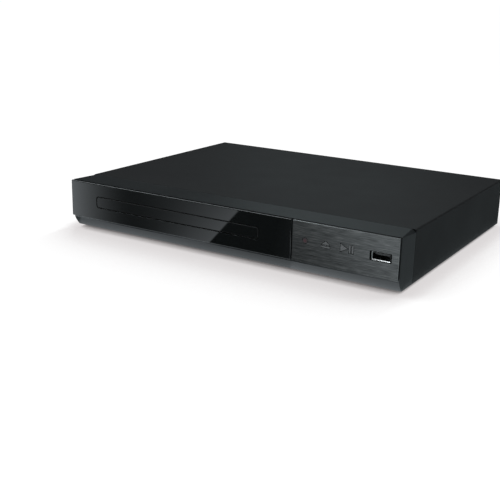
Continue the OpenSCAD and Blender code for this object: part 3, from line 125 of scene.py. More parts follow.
def mesh_object(name, points, faces, materials, crease=30, coats=None):
    """A closed mesh from arrays: doubles merged, normals turned outwards, smooth up to the crease angle.

    coats gives each face its place in the list of materials; without it all take the first.
    """
    mesh = new_mesh(name, points, faces, materials)
    if coats is not None:
        mesh.polygons.foreach_set("material_index", np.asarray(coats, int))
    tidy_mesh(mesh, crease, turn=True)
    return new_object(name, mesh)


DOUBLE, EMPTY = 2e-6, 1e-6


def tidy_mesh(mesh, crease, turn=False, flat=None):
    """Merges points within DOUBLE metres, drops faces under EMPTY, marks edges sharper than the crease.

    If flat is an angle, triangles within it of one plane are joined first; turn faces all normals outwards.
    """
    work = bmesh.new()
    work.from_mesh(mesh)
    bmesh.ops.remove_doubles(work, verts=work.verts, dist=DOUBLE)
    bmesh.ops.dissolve_degenerate(work, edges=work.edges, dist=EMPTY)
    if flat:
        bmesh.ops.dissolve_limit(work, angle_limit=math.radians(flat), verts=work.verts, edges=work.edges)
    if turn:
        bmesh.ops.recalc_face_normals(work, faces=work.faces)
    work.to_mesh(mesh)
    work.free()
    mesh.shade_smooth()
    mesh.set_sharp_from_angle(angle=math.radians(crease))


def solids(node):
    """Boxes of a CAD node's separate solids in bench millimetres: one row of low and high corner each.

    Every corner takes the least number among the triangles it belongs to, until none changes.
    """
    mesh = frame["nodes"][node].data
    spots, same = np.unique(read(mesh.vertices, "co", 3).round(5), axis=0, return_inverse=True)
    triangles = same.reshape(-1)[read(mesh.loops, "vertex_index", kind=int)].reshape(-1, 3)
    label = np.arange(len(spots))
    while True:
        least = label.copy()
        np.minimum.at(least, triangles, label[triangles].min(axis=1)[:, None])
        if (least == label).all():
            break
        label = least
    return bench([(spots[label == k].min(axis=0), spots[label == k].max(axis=0)) for k in np.unique(label)])


X, Y, Z = np.eye(3)


def turned(name, profile, centres, axis, materials, steps=48, crease=30, sink=None, bands=None):
    """A lathe shape at each centre: point (r, h) of the profile goes to centre + r (cos a, sin a) + h axis.

    The profile is one list of points, or one list for each centre. sink(across, along, h) may take from h,
    which cuts a recess; across and along are r cos a and r sin a. bands gives each row of faces its place
    in materials.
    """
    centres = np.atleast_2d(centres)
    profile = np.asarray(profile, float)
    rows = profile.shape[-2]
    side = Y if axis is X else X
    other = np.cross(axis, side)
    a = np.arange(steps) * TURN / steps
    points, faces = [], []
    for k, (centre, one) in enumerate(zip(centres, np.broadcast_to(profile, (len(centres), rows, 2)))):
        across, along = one[:, :1] * np.cos(a), one[:, :1] * np.sin(a)
        rise = one[:, 1:] + 0 * a
        if sink:
            rise = rise - sink(across, along, rise)
        shape = across[..., None] * side + along[..., None] * other + rise[..., None] * axis
        points.append((shape + centre).reshape(-1, 3))
        faces.append(grid_faces(rows, steps, wrap_columns=True, start=k * rows * steps))
    coats = np.tile(np.repeat(bands, steps), len(centres)) if bands else None
    return mesh_object(name, np.concatenate(points), np.concatenate(faces), materials, crease, coats)


def rounded(start, end, bulge, count=5):
    """Profile points of a rounded corner: a quarter ellipse from start to end that bulges towards bulge."""
    start, end, bulge = (np.asarray(p, float) for p in (start, end, bulge))
    t = np.linspace(0, 1, count)[:, None] * TURN / 4
    middle = start + end - bulge
    return middle + (start - middle) * np.cos(t) + (end - middle) * np.sin(t)


# Shares of a screw's head: where its crown starts, and how far, wide and deep its recess goes
CROWN_START, RECESS_REACH, RECESS_WIDTH, RECESS_DEPTH = 0.94, 0.56, 0.26, 0.45
ARM_SLOPE, END_SLOPE = 0.12, 0.3


def cross_recess(top, reach, width, depth):
    """Cross slot of a screw: depth comes off above top, within width / 2 of a middle line, out to reach."""
    def sink(across, along, rise):
        line = np.minimum(abs(across), abs(along))
        r = np.hypot(across, along)
        arm = np.clip((width / 2 - line) / ARM_SLOPE + 0.5, 0, 1)
        end = np.clip((reach - r) / END_SLOPE + 0.5, 0, 1)
        return depth * arm * end * (rise > top)
    return sink


def screws(node, axis, shank_r, head_h, dome, slot):
    """Pan head screws, a domed head with a cross recess on a plain shank, one for each solid of the node."""
    boxes = solids(node)
    along = axis @ (boxes[:, 1] - boxes[:, 0]).T
    head_r = (boxes[0, 1] - boxes[0, 0])[0] / 2
    middle = boxes.mean(axis=1)
    feet = middle - along[:, None] / 2 * axis
    top = along[0]
    rings = np.linspace(CROWN_START, 0, 16)
    crown = [(head_r * r, top - dome * r ** 2) for r in rings]
    profile = [(0, 0), (shank_r, 0), (shank_r, top - head_h), (head_r, top - head_h),
               (head_r, top - 2.2 * dome), *crown]
    sink = cross_recess(top - head_h / 2 - dome, head_r * RECESS_REACH, RECESS_WIDTH * head_r,
                        RECESS_DEPTH * head_h)
    piece = turned(node + "_turned", profile, feet, axis, [finishes[slot]], steps=64, sink=sink)
    return stands_for(piece, "cabinet", slot, node)


def stands_for(piece, body, slot, *nodes):
    """Rides the piece on its body and hides the CAD nodes it stands for. The slot is not used."""
    if nodes:
        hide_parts(*nodes)
    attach(piece, body)
    return piece


# Across which axes the rim of a front plate has its edges broken in full: 0 its ends, 2 its top and foot
RIMMED = {"front_plate": (0, 2), "control_plate": (2,)}
OPENING_SHARE, WALL_DEPTH = 0.1, 0.05
RIM_SLACK = 1e-5
# Which material the broken edges of a faced piece show: its front finish, bare plastic, or a lighter metal
# that paints a highlight line along the edge
FRONT_FINISH, BARE, HIGHLIGHT_EDGE = 0, 1, 2
FACED = {"front_plate": FRONT_FINISH, "control_plate": HIGHLIGHT_EDGE, "tray_door": BARE}
FACING_FRONT = -0.9


def bare_edges(mesh, material):
    """Gives all faces whose normal has y over FACING_FRONT the bare material: only the front is finished."""
    mesh.materials.append(material)
    normals = read(mesh.polygons, "normal", 3)
    mesh.polygons.foreach_set("material_index", (normals[:, 1] > FACING_FRONT).astype(int))


def rim_weights(mesh, axes):
    """Bevel weight of a wall's sharp edges: 1 on the mesh's rim across the axes, else OPENING_SHARE.

    A wall is a face that goes over WALL_DEPTH back from the front, so slivers in the front itself get none.
    """
    points = read(mesh.vertices, "co", 3)
    pair = points[read(mesh.edges, "vertices", 2, int)]
    low, high = points.min(axis=0), points.max(axis=0)
    on_rim = np.zeros(len(pair), bool)
    for axis in axes:
        for side in (low, high):
            on_rim |= (abs(pair[..., axis] - side[axis]) < RIM_SLACK).all(axis=1)
    starts = read(mesh.polygons, "loop_start", kind=int)
    counts = read(mesh.polygons, "loop_total", kind=int)
    back = points[read(mesh.loops, "vertex_index", kind=int), 1]
    wall = np.maximum.reduceat(back, starts) - np.minimum.reduceat(back, starts) > WALL_DEPTH * MM
    of_wall = np.zeros(len(mesh.edges), bool)
    of_wall[read(mesh.loops, "edge_index", kind=int)[np.repeat(wall, counts)]] = True
    sharp = read(mesh.attributes["sharp_edge"].data, "value", kind=bool)
    weight = mesh.attributes.new("bevel_weight_edge", "FLOAT", "EDGE")
    weight.data.foreach_set("value", np.where(sharp & of_wall, np.where(on_rim, 1.0, OPENING_SHARE), 0.0))


# Degrees: edges over CREASE are sharp, those over BROKEN broken, and faces within COPLANAR are one
CREASE, BROKEN, COPLANAR = 28, 35, 0.6


def dressed(node, slot, bevel):
    """A merged copy of a CAD node with its edges broken by bevel millimetres, standing for the node.

    On a RIMMED plate the rim across its axes takes the whole width, all other edges OPENING_SHARE of it.
    """
    source = frame["nodes"][node]
    mesh = source.data.copy()
    mesh.name = node + "_dressed"
    piece = new_object(mesh.name, mesh)
    tidy_mesh(mesh, CREASE, flat=COPLANAR)
    mesh.materials.clear()
    mesh.materials.append(finishes[slot])
    if node in FACED:
        bare_edges(mesh, finishes["bare_edge_and_gap_shade"])
        # The hairline plate's broken edges take a lighter metal, a painted highlight line
        if FACED[node] == HIGHLIGHT_EDGE:
            mesh.materials.append(finishes["painted_edge_highlight"])
    if node in COATS:
        coat(mesh, node)
    if bevel:
        edge = piece.modifiers.new("edge", "BEVEL")
        edge.width = bevel * MM
        edge.segments = 2
        edge.material = FACED.get(node, -1)
        edge.limit_method = "ANGLE"
        edge.angle_limit = math.radians(BROKEN)
        if node in RIMMED:
            edge.limit_method = "WEIGHT"
            edge.mark_sharp = True
            rim_weights(mesh, RIMMED[node])
        edge.use_clamp_overlap = True
        edge.harden_normals = True
    even = piece.modifiers.new("even", "WEIGHTED_NORMAL")
    even.keep_sharp = True
    return stands_for(piece, source["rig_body"], slot, node)


# ---------------------------------------------------------------- finishes

def linear(code, alpha=1.0):
    """sRGB hex to linear: c / 12.92 up to 0.04045, ((c + 0.055) / 1.055) ** 2.4 above."""
    c = np.array([int(code[k:k + 2], 16) for k in (0, 2, 4)]) / 255
    c = np.where(c <= 0.04045, c / 12.92, ((c + 0.055) / 1.055) ** 2.4)
    return (*c.tolist(), alpha)


def add(tree, kind, settings=None, sockets=None, stops=None):
    """Adds a node, sets its settings, and sets each named input, or links it where the value is a socket."""
    node = tree.nodes.new("ShaderNode" + kind)
    for name, value in (settings or {}).items():
        setattr(node, name, value)
    for name, value in (sockets or {}).items():
        if isinstance(value, bpy.types.NodeSocket):
            tree.links.new(value, node.inputs[name])
        else:
            node.inputs[name].default_value = value
    if stops:
        ramp = node.color_ramp
        for k, (at, colour) in enumerate(stops):
            stop = ramp.elements[k] if k < 2 else ramp.elements.new(at)
            stop.position, stop.color = at, colour
    return node


def empty_tree(owner):
    """The node tree of a material or world, with nothing in it."""
    owner.use_nodes = True
    owner.node_tree.nodes.clear()
    return owner.node_tree


def material_start(name):
    """A new material with an empty tree, and its Object coordinates in metres."""
    material = bpy.data.materials.new(name)
    tree = empty_tree(material)
    return material, tree, add(tree, "TexCoord").outputs["Object"]


def material_end(tree, **sockets):
    """Closes a tree with one Principled shader."""
    names = {key.replace("_", " "): value for key, value in sockets.items()}
    shader = add(tree, "BsdfPrincipled", sockets=names)
    add(tree, "OutputMaterial", sockets={"Surface": shader.outputs[0]})


def per_mm(size):
    """Scale of a noise or Voronoi texture on metres whose features are size millimetres across."""
    return 1 / (size * MM)


def moulded(name, dark, light, rough, grain, depth=0.02, ior=1.52, spread=0.05, **more):
    """Moulded plastic: the mould's spark texture, grain mm across, with slow drifts of tone and gloss."""
    material, tree, at = material_start(name)
    fine = add(tree, "TexNoise", sockets={"Vector": at, "Scale": per_mm(grain), "Detail": 3.0,
                                          "Roughness": 0.6})
    slow = add(tree, "TexNoise", sockets={"Vector": at, "Scale": per_mm(25), "Detail": 2.0})
    both = add(tree, "Mix", {"data_type": "FLOAT"},
               {"Factor": 0.35, "A": fine.outputs["Fac"], "B": slow.outputs["Fac"]})
    tone = add(tree, "ValToRGB", sockets={"Fac": both.outputs["Result"]},
               stops=[(0.3, linear(dark)), (0.7, linear(light))])
    gloss = add(tree, "MapRange", sockets={"Value": both.outputs["Result"],
                                           "From Min": 0.3, "From Max": 0.7,
                                           "To Min": rough - spread, "To Max": rough + spread})
    bump = add(tree, "Bump", sockets={"Height": fine.outputs["Fac"], "Strength": 0.5,
                                      "Distance": depth * MM})
    material_end(tree, Base_Color=tone.outputs["Color"], Roughness=gloss.outputs["Result"],
                 Normal=bump.outputs["Normal"], IOR=ior, **more)
    return material


def metal(name, dark, light, rough, streak, grain=0.4, depth=0.01, **more):
    """Bare or plated metal: marks grain mm wide, drawn out along x, y and z by the millimetres of streak."""
    material, tree, at = material_start(name)
    drawn = add(tree, "Mapping", sockets={"Vector": at, "Scale": [per_mm(s) for s in streak]})
    marks = add(tree, "TexNoise", sockets={"Vector": drawn.outputs["Vector"], "Scale": 1.0, "Detail": 4.0,
                                           "Roughness": 0.65})
    cloud = add(tree, "TexNoise", sockets={"Vector": at, "Scale": per_mm(14 * grain), "Detail": 3.0})
    both = add(tree, "Mix", {"data_type": "FLOAT"},
               {"Factor": 0.4, "A": marks.outputs["Fac"], "B": cloud.outputs["Fac"]})
    tone = add(tree, "ValToRGB", sockets={"Fac": both.outputs["Result"]},
               stops=[(0.3, linear(dark)), (0.7, linear(light))])
    gloss = add(tree, "MapRange", sockets={"Value": both.outputs["Result"],
                                           "From Min": 0.3, "From Max": 0.7,
                                           "To Min": rough * 0.75, "To Max": rough * 1.25})
    bump = add(tree, "Bump", sockets={"Height": marks.outputs["Fac"], "Strength": 0.4,
                                      "Distance": depth * MM})
    material_end(tree, Base_Color=tone.outputs["Color"], Roughness=gloss.outputs["Result"],
                 Normal=bump.outputs["Normal"], Metallic=1.0, **more)
    return material


def polished_acrylic():
    """Polished black acrylic, injection moulded: deep black under a mirror gloss, faintly wavy and dusty."""
    material, tree, at = material_start("polished_black_acrylic")
    wave = add(tree, "TexNoise", sockets={"Vector": at, "Scale": per_mm(30), "Detail": 1.0})
    dust = add(tree, "TexNoise", sockets={"Vector": at, "Scale": per_mm(0.8), "Detail": 2.0})
    speck = add(tree, "MapRange", sockets={"Value": dust.outputs["Fac"], "From Min": 0.62, "From Max": 0.8,
                                           "To Min": 0.03, "To Max": 0.12})
    tone = add(tree, "ValToRGB", sockets={"Fac": dust.outputs["Fac"]},
               stops=[(0.35, linear("080b0b")), (0.8, linear("0b0f0f"))])
    bump = add(tree, "Bump", sockets={"Height": wave.outputs["Fac"], "Strength": 0.15,
                                      "Distance": 0.02 * MM})
    material_end(tree, Base_Color=tone.outputs["Color"], Roughness=speck.outputs["Result"],
                 Normal=bump.outputs["Normal"], IOR=1.49)
    return material


def hairline_film():
    """Metallised hairline film over ABS: level strokes 0.35 mm high and 10 mm long, light and dark.

    The real strokes are about 0.1 mm high, and are drawn coarser so that they show at this size.
    """
    material, tree, at = material_start("hairline_film")
    drawn = add(tree, "Mapping", sockets={"Vector": at, "Scale": (per_mm(10), per_mm(10), per_mm(0.35))})
    strokes = add(tree, "TexNoise", sockets={"Vector": drawn.outputs["Vector"], "Scale": 1.0, "Detail": 4.0,
                                             "Roughness": 0.6})
    wide = add(tree, "Mapping", sockets={"Vector": at, "Scale": (per_mm(80), per_mm(80), per_mm(1.1))})
    bands = add(tree, "TexNoise", sockets={"Vector": wide.outputs["Vector"], "Scale": 1.0, "Detail": 2.0})
    both = add(tree, "Mix", {"data_type": "FLOAT"},
               {"Factor": 0.2, "A": strokes.outputs["Fac"], "B": bands.outputs["Fac"]})
    tone = add(tree, "ValToRGB", sockets={"Fac": both.outputs["Result"]},
               stops=[(0.36, linear("2c2e2e")), (0.5, linear("444646")), (0.64, linear("676968"))])
    gloss = add(tree, "MapRange", sockets={"Value": both.outputs["Result"],
                                           "From Min": 0.35, "From Max": 0.65,
                                           "To Min": 0.26, "To Max": 0.38})
    bump = add(tree, "Bump", sockets={"Height": strokes.outputs["Fac"], "Strength": 0.35,
                                      "Distance": 0.03 * MM})
    material_end(tree, Base_Color=tone.outputs["Color"], Roughness=gloss.outputs["Result"],
                 Normal=bump.outputs["Normal"], Metallic=0.5, IOR=1.5)
    return material


def painted_steel():
    """Black powder paint on folded steel: 0.5 mm orange peel that breaks the gloss into a fine sparkle.

    The tone varies in 0.35 mm specks. Real peel is finer, and is drawn coarser so that it shows.
    """
    material, tree, at = material_start("textured_black_paint")
    peel = add(tree, "TexVoronoi", {"feature": "SMOOTH_F1"}, {"Vector": at, "Scale": per_mm(0.5),
                                                              "Smoothness": 0.6})
    fine = add(tree, "TexNoise", sockets={"Vector": at, "Scale": per_mm(0.35), "Detail": 3.0})
    slow = add(tree, "TexNoise", sockets={"Vector": at, "Scale": per_mm(60), "Detail": 2.0})
    tone = add(tree, "ValToRGB", sockets={"Fac": fine.outputs["Fac"]},
               stops=[(0.3, linear("131617")), (0.7, linear("1a1d1f"))])
    gloss = add(tree, "MapRange", sockets={"Value": slow.outputs["Fac"], "From Min": 0.3, "From Max": 0.7,
                                           "To Min": 0.46, "To Max": 0.54})
    bump = add(tree, "Bump", sockets={"Height": peel.outputs["Distance"], "Strength": 0.3,
                                      "Distance": 0.03 * MM})
    material_end(tree, Base_Color=tone.outputs["Color"], Roughness=gloss.outputs["Result"],
                 Normal=bump.outputs["Normal"], IOR=1.5)
    return material


def circuit_board(name, mask, copper, legend):
    """Printed board: solder mask over the faint relief of copper tracks 1.27 mm apart, and pale pads."""
    material, tree, at = material_start(name)
    tracks = add(tree, "TexBrick", {"offset": 0.5, "squash": 1.0},
                 {"Vector": at, "Color1": linear(mask), "Color2": linear(copper), "Mortar": linear(copper),
                  "Scale": per_mm(2.54), "Mortar Size": 0.09, "Brick Width": 3.0, "Row Height": 0.5})
    pads = add(tree, "TexVoronoi", {"distance": "CHEBYCHEV"}, {"Vector": at, "Scale": per_mm(3.8)})
    spot = add(tree, "MapRange", sockets={"Value": pads.outputs["Distance"],
                                          "From Min": 0.1, "From Max": 0.14,
                                          "To Min": 1.0, "To Max": 0.0})
    tone = add(tree, "Mix", {"data_type": "RGBA"},
               {"Factor": spot.outputs["Result"], "A": tracks.outputs["Color"], "B": linear(legend)})
    bump = add(tree, "Bump", sockets={"Height": tracks.outputs["Fac"], "Strength": 0.4,
                                      "Distance": 0.035 * MM})
    material_end(tree, Base_Color=tone.outputs["Result"], Roughness=0.38, Normal=bump.outputs["Normal"],
                 IOR=1.5)
    return material


def insert_plastic():
    """Moulded inserts of the sound and picture sockets: red, white and yellow by place across the back."""
    material, tree, at = material_start("moulded_socket_inserts")
    low, high = corners("jack_inserts")
    across = add(tree, "SeparateXYZ", sockets={"Vector": at})
    share = add(tree, "MapRange", sockets={"Value": across.outputs["X"], "From Min": low[0] * MM,
                                           "From Max": high[0] * MM})
    tone = add(tree, "ValToRGB", sockets={"Fac": share.outputs["Result"]},
               stops=[(0.0, linear("b3161a")), (0.34, linear("e6e4dc")), (0.67, linear("e0b012"))])
    tone.color_ramp.interpolation = "CONSTANT"
    fine = add(tree, "TexNoise", sockets={"Vector": at, "Scale": per_mm(0.4), "Detail": 2.0})
    bump = add(tree, "Bump", sockets={"Height": fine.outputs["Fac"], "Strength": 0.3,
                                      "Distance": 0.01 * MM})
    material_end(tree, Base_Color=tone.outputs["Color"], Roughness=0.35, Normal=bump.outputs["Normal"],
                 IOR=1.5)
    return material


def painted_glow_key():
    """Tinted polycarbonate key before a lamp: a painted red glow of the lamp in the middle, smoke grey towards
    its rim.
    """
    material, tree, at = material_start("tinted_polycarbonate_painted_glow")
    low, high = corners("power_key")
    middle = place((low + high) / 2)[0]
    reach = (high[0] - low[0]) / 2 * MM
    near = add(tree, "Mapping", {"vector_type": "TEXTURE"},
               {"Vector": at, "Location": middle.tolist(), "Scale": (reach, 10 * reach, reach)})
    glow = add(tree, "TexGradient", {"gradient_type": "SPHERICAL"}, {"Vector": near.outputs["Vector"]})
    fine = add(tree, "TexNoise", sockets={"Vector": at, "Scale": per_mm(0.5), "Detail": 2.0})
    # Painted glow: the lamp's red light drawn into the key's colour, fading out from its middle
    tone = add(tree, "ValToRGB", sockets={"Fac": glow.outputs["Fac"]},
               stops=[(0.4, linear("3f4141")), (0.75, linear("452c31")), (1.0, linear("5c2c34"))])
    bump = add(tree, "Bump", sockets={"Height": fine.outputs["Fac"], "Strength": 0.3,
                                      "Distance": 0.01 * MM})
    material_end(tree, Base_Color=tone.outputs["Color"], Roughness=0.3, Normal=bump.outputs["Normal"],
                 IOR=1.58)
    return material


finishes = {
    "gloss_black": polished_acrylic(),
    "hairline_grey": hairline_film(),
    # Black ABS under the front finish, cut at the plates' edges: dull, so that the gaps round them stay dark.
    # On the foremost faces of the bezel and the tray it is painted shade in the gaps of the front.
    "bare_edge_and_gap_shade": moulded("bare_black_abs_and_gap_shade", "070808", "0b0c0c", 0.6, 0.4),
    # Lighter metal on the broken edge of the hairline plate: a painted highlight, a thin bright line round the
    # plate
    "painted_edge_highlight": metal("painted_highlight_on_film_edge", "6a6d6e", "868989", 0.34, (5, 0.4, 0.4)),
    # ABS, spark eroded mould: soft sheen with a fine even grain
    "bezel_grey": moulded("textured_grey_abs", "191e20", "202527", 0.36, 0.5, depth=0.03, ior=1.58),
    "key_grey": moulded("satin_grey_abs", "5a5c5d", "686a6b", 0.34, 0.4),
    "key_red": painted_glow_key(),
    "cover_black": painted_steel(),
    # Zinc plated steel: cool grey spangle
    "zinc_sheet": metal("zinc_plated_steel", "8c9094", "b4b8bb", 0.34, (5, 5, 5), grain=0.5),
    "bright_steel": metal("bright_nickel_plate", "c4c5c4", "dedfde", 0.26, (0.3, 6, 0.3)),
    "screw_black": metal("black_oxide_steel", "2a2b2c", "3b3c3d", 0.38, (1, 1, 1)),
    "tray_black": moulded("satin_black_abs", "1e2021", "27292a", 0.36, 0.45, depth=0.02),
    "loader_black": moulded("moulded_black_abs", "1d1e1f", "262728", 0.5, 0.6, depth=0.03),
    # Acetal gears: waxy off-white with a little light under the skin
    "gear_cream": moulded("moulded_acetal", "ded8c6", "ece7d8", 0.4, 0.5, ior=1.48,
                          Subsurface_Weight=0.15, Subsurface_Scale=0.0008),
    "clamp_white": moulded("moulded_white_abs", "dcdcd6", "ebebe6", 0.38, 0.5),
    "magnet_grey": metal("nickel_plated_magnet", "6c6e70", "8b8d8f", 0.3, (2, 2, 2)),
    "rubber_black": moulded("moulded_black_rubber", "121313", "1c1d1d", 0.82, 0.7, depth=0.05, spread=0.08),
    "brass": metal("turned_brass", "b98b45", "d9b26a", 0.24, (0.4, 0.4, 4)),
    "lens_glass": moulded("coated_lens_glass", "4a6f95", "5c84ad", 0.06, 2.0, depth=0.001, spread=0.02,
                          Transmission_Weight=0.6),
    "board_green": circuit_board("green_circuit_board", "14502c", "1d6a3b", "c9c2a0"),
    "board_tan": circuit_board("bare_laminate_board", "a3814b", "b8945b", "d5d0c4"),
    "chip_black": moulded("moulded_epoxy", "151617", "1e1f20", 0.55, 0.25, depth=0.02),
    "sink_aluminium": metal("extruded_aluminium", "a4a7a9", "c6c9ca", 0.32, (0.4, 30, 0.4)),
    "can_blue": moulded("shrink_sleeve_vinyl", "1a2440", "233055", 0.3, 1.5, depth=0.005),
    "socket_cream": moulded("moulded_nylon", "e2dccb", "efeadc", 0.42, 0.5),
    "winding_yellow": moulded("varnished_tape", "c39a35", "d9b048", 0.3, 1.2, depth=0.02),
    # Sintered ferrite: dull dark grey with a fine sandy tooth
    "ferrite_grey": moulded("sintered_ferrite", "2c2d2e", "3a3b3c", 0.6, 0.35, depth=0.03),
    "socket_black": moulded("moulded_black_nylon", "121314", "1b1c1d", 0.42, 0.4),
    "insert_colour": insert_plastic(),
    "lamp_red": moulded("diffusing_red_epoxy", "7c1418", "981c20", 0.25, 1.0, depth=0.002,
                        Transmission_Weight=0.3),
}

# ---------------------------------------------------------------- dressed CAD nodes

# Slot, and millimetres by which the edges are broken
DRESSED = {
    "front_plate": ("gloss_black", 0.7), "tray_door": ("gloss_black", 0.4),
    "control_plate": ("hairline_grey", 0.45), "front_bezel": ("bezel_grey", 0.3),
    "power_key": ("key_red", 0.15), "eject_key": ("key_grey", 0.12), "play_key": ("key_grey", 0.12),
    "usb_tongue": ("socket_black", 0.1),
    "disc_tray": ("tray_black", 0.25), "top_cover": ("cover_black", 0.12),
    "bottom_chassis": ("zinc_sheet", 0.12), "rear_panel": ("cover_black", 0.12),
    "mains_inlet": ("socket_black", 0.3), "loader_frame": ("loader_black", 0.2),
    "clamp_bridge": ("loader_black", 0.2), "cam_slider": ("gear_cream", 0.1),
    "unit_frame": ("loader_black", 0.15), "pickup_sled": ("loader_black", 0.2),
    "heat_sink": ("sink_aluminium", 0.1), "jack_block": ("socket_black", 0.3),
    "board_sockets": ("socket_cream", 0.2), "board_chips": ("chip_black", 0.15),
    "transformer": ("winding_yellow", 0.3), "key_switches": ("socket_black", 0.15),
    "usb_board": ("board_green", 0.08), "front_board": ("board_green", 0.08),
    "main_board": ("board_green", 0.08), "power_board": ("board_tan", 0.08),
    "remote_eye": ("chip_black", 0.15),
    "drive_gear": ("gear_cream", 0.0), "pulley_gear": ("gear_cream", 0.0),
    "feed_wheel": ("gear_cream", 0.0), "feed_rack": ("gear_cream", 0.0), "feed_pinion": ("brass", 0.0),
    "motor_pulley": ("gear_cream", 0.05), "drive_belt": ("rubber_black", 0.0),
    "pivot_bushes": ("rubber_black", 0.1), "turntable": ("loader_black", 0.1),
    "turntable_pad": ("rubber_black", 0.05), "disc_clamp": ("clamp_white", 0.15),
    "clamp_magnet": ("magnet_grey", 0.2), "pickup_lens": ("lens_glass", 0.05),
    "guide_rods": ("bright_steel", 0.15), "standby_lamp": ("lamp_red", 0.0),
    "spindle_motor": ("zinc_sheet", 0.3), "loading_motor": ("zinc_sheet", 0.4),
    "feed_motor": ("zinc_sheet", 0.2),
}
BOBBIN_H, WINDING_TOP, WINDING_R, CORE_HALF = 3, 14, 9.2, 5.5
SLACK = 0.06


def transformer_coats(at):
    """Coat of each face of the transformer by its middle: 0 winding, 1 bobbin below it, 2 ferrite core."""
    low, high = corners("transformer")
    across, along, rise = (at - [*((low + high) / 2)[:2], low[2]]).T
    on_winding = abs(np.hypot(across, along) - WINDING_R) < 2 * SLACK
    core = (rise > WINDING_TOP + SLACK) | (abs(across) > WINDING_R + SLACK)
    core |= (abs(abs(along) - CORE_HALF) < SLACK) & ~on_winding
    return np.where(rise < BOBBIN_H + SLACK, 1, np.where(core, 2, 0))


def foremost(node):
    """Rule for a node whose foremost faces, which stand in the gaps of the front, take coat 1: black, as
    painted shade in those gaps.
    """
    front = corners(node)[0][1]
    return lambda at: (at[:, 1] < front + SLACK).astype(int)


COATS = {"transformer": (transformer_coats, ("socket_black", "ferrite_grey")),
         # The foremost faces of the bezel and the tray are painted black as shade in the gaps of the front
         "front_bezel": (foremost("front_bezel"), ("bare_edge_and_gap_shade",)),
         "disc_tray": (foremost("disc_tray"), ("bare_edge_and_gap_shade",))}


def coat(mesh, node):
    """Gives each face of a node the material that its place calls for."""
    rule, more = COATS[node]
    for key in more:
        mesh.materials.append(finishes[key])
    mesh.polygons.foreach_set("material_index", rule(bench(read(mesh.polygons, "center", 3))))


for node, (slot, bevel) in DRESSED.items():
    dressed(node, slot, bevel)

# ---------------------------------------------------------------- small fittings

screws("cover_screws", Y, 1.25, 1.3, 0.45, "screw_black")
screws("loader_screws", Z, 1.25, 1.6, 0.4, "zinc_sheet")
screws("board_screws", Z, 1.25, 1.6, 0.4, "zinc_sheet")


def feet():
    """Push-in rubber feet: a rolled disc with two rings on its dished sole, a stem and a barbed button."""
    boxes = solids("rubber_feet")
    centres = boxes.mean(axis=1) * (1, 1, 0)
    r, top = (boxes[0, 1] - boxes[0, 0])[[0, 2]] / (2, 1)
    disc_top, stem_r, button_r, button_h = 2, 2.2, 3, 1.2
    sole = [(0, 0.7), (1.2, 0.7), (1.5, 0.45), (3.0, 0.45), (3.3, 0.0), (4.1, 0.0), (4.4, 0.45),
            (5.0, 0.45), (5.3, 0.0)]
    rim = [*rounded((r - 0.7, 0), (r, 0.7), (r, 0)),
           *rounded((r, disc_top - 0.4), (r - 0.4, disc_top), (r, disc_top))]
    button = [(button_r, top - button_h),
              *rounded((button_r, top - 0.6), (button_r - 1, top), (button_r, top))]
    profile = [*sole, *rim, (stem_r, disc_top), (stem_r, top - button_h), *button, (0, top)]
    piece = turned("rubber_feet_turned", profile, centres, Z, [finishes["rubber_black"]], steps=64,
                   crease=40)
    return stands_for(piece, "cabinet", "rubber_black", "rubber_feet")


def barrels():
    """Drawn contact barrels of the sound and picture sockets: a thin tube with a rolled lip and a collar."""
    boxes = solids("jack_barrels")
    r, long = (boxes[0, 1] - boxes[0, 0])[[0, 1]] / (2, 1)
    bore = solids("jack_inserts")[0]
    inner = (bore[1] - bore[0])[0] / 2
    neck, out = r - 0.3, 10.3
    lip = [*rounded((r - 0.15, long - 1.2), (r, long - 0.6), (r, long - 1.2), 3),
           *rounded((r, long - 0.45), (r - 0.4, long), (r, long)),
           *rounded((inner + 0.25, long), (inner, long - 0.3), (inner, long), 3)]
    profile = [(inner, 0), (neck, 0), (neck, long - out), (r, long - out), (r, long - out + 0.8),
               (r - 0.15, long - out + 1), *lip, (inner, 0)]
    centres = boxes.mean(axis=1) - long / 2 * Y
    piece = turned("jack_barrels_turned", profile, centres, Y, [finishes["bright_steel"]], steps=64)
    return stands_for(piece, "cabinet", "bright_steel", "jack_barrels")


def inserts():
    """Coloured socket inserts: a plug of plastic with a raised collar round a chamfered bore."""
    boxes = solids("jack_inserts")
    r, long = (boxes[0, 1] - boxes[0, 0])[[0, 1]] / (2, 1)
    bore, bore_end = 1.6, 12.9
    face = long - 0.35
    profile = [(0, 0), (r, 0), *rounded((r, face - 0.2), (r - 0.2, face), (r, face), 3), (bore + 1.0, face),
               (bore + 0.85, long), (bore + 0.3, long), (bore, long - 0.3), (bore, bore_end), (0, bore_end)]
    centres = boxes.mean(axis=1) - long / 2 * Y
    piece = turned("jack_inserts_turned", profile, centres, Y, [finishes["insert_colour"]], steps=48)
    return stands_for(piece, "cabinet", "insert_colour", "jack_inserts")


def pins():
    """Mains pins: plated rod whose outer end is a half ball, slightly flattened."""
    boxes = solids("inlet_pins")
    r, long = (boxes[0, 1] - boxes[0, 0])[[0, 1]] / (2, 1)
    profile = [(0, 0), (r, 0), *rounded((r, long - 0.9 * r), (0, long), (r, long), 8)]
    centres = boxes.mean(axis=1) - long / 2 * Y
    piece = turned("inlet_pins_turned", profile, centres, Y, [finishes["brass"]], steps=32, crease=50)
    return stands_for(piece, "cabinet", "brass", "inlet_pins")


def around(half_w, half_h, corner, steps=8):
    """Outline of a rounded rectangle in the x-z plane: four quarter circles joined by straight sides."""
    a = (np.arange(4)[:, None] * TURN / 4 + np.linspace(0, TURN / 4, steps)).reshape(-1)
    quarter = np.repeat(np.arange(4), steps)
    sx, sz = np.array([1, -1, -1, 1])[quarter], np.array([1, 1, -1, -1])[quarter]
    return np.stack([sx * (half_w - corner) + corner * np.cos(a),
                     sz * (half_h - corner) + corner * np.sin(a)], axis=-1)


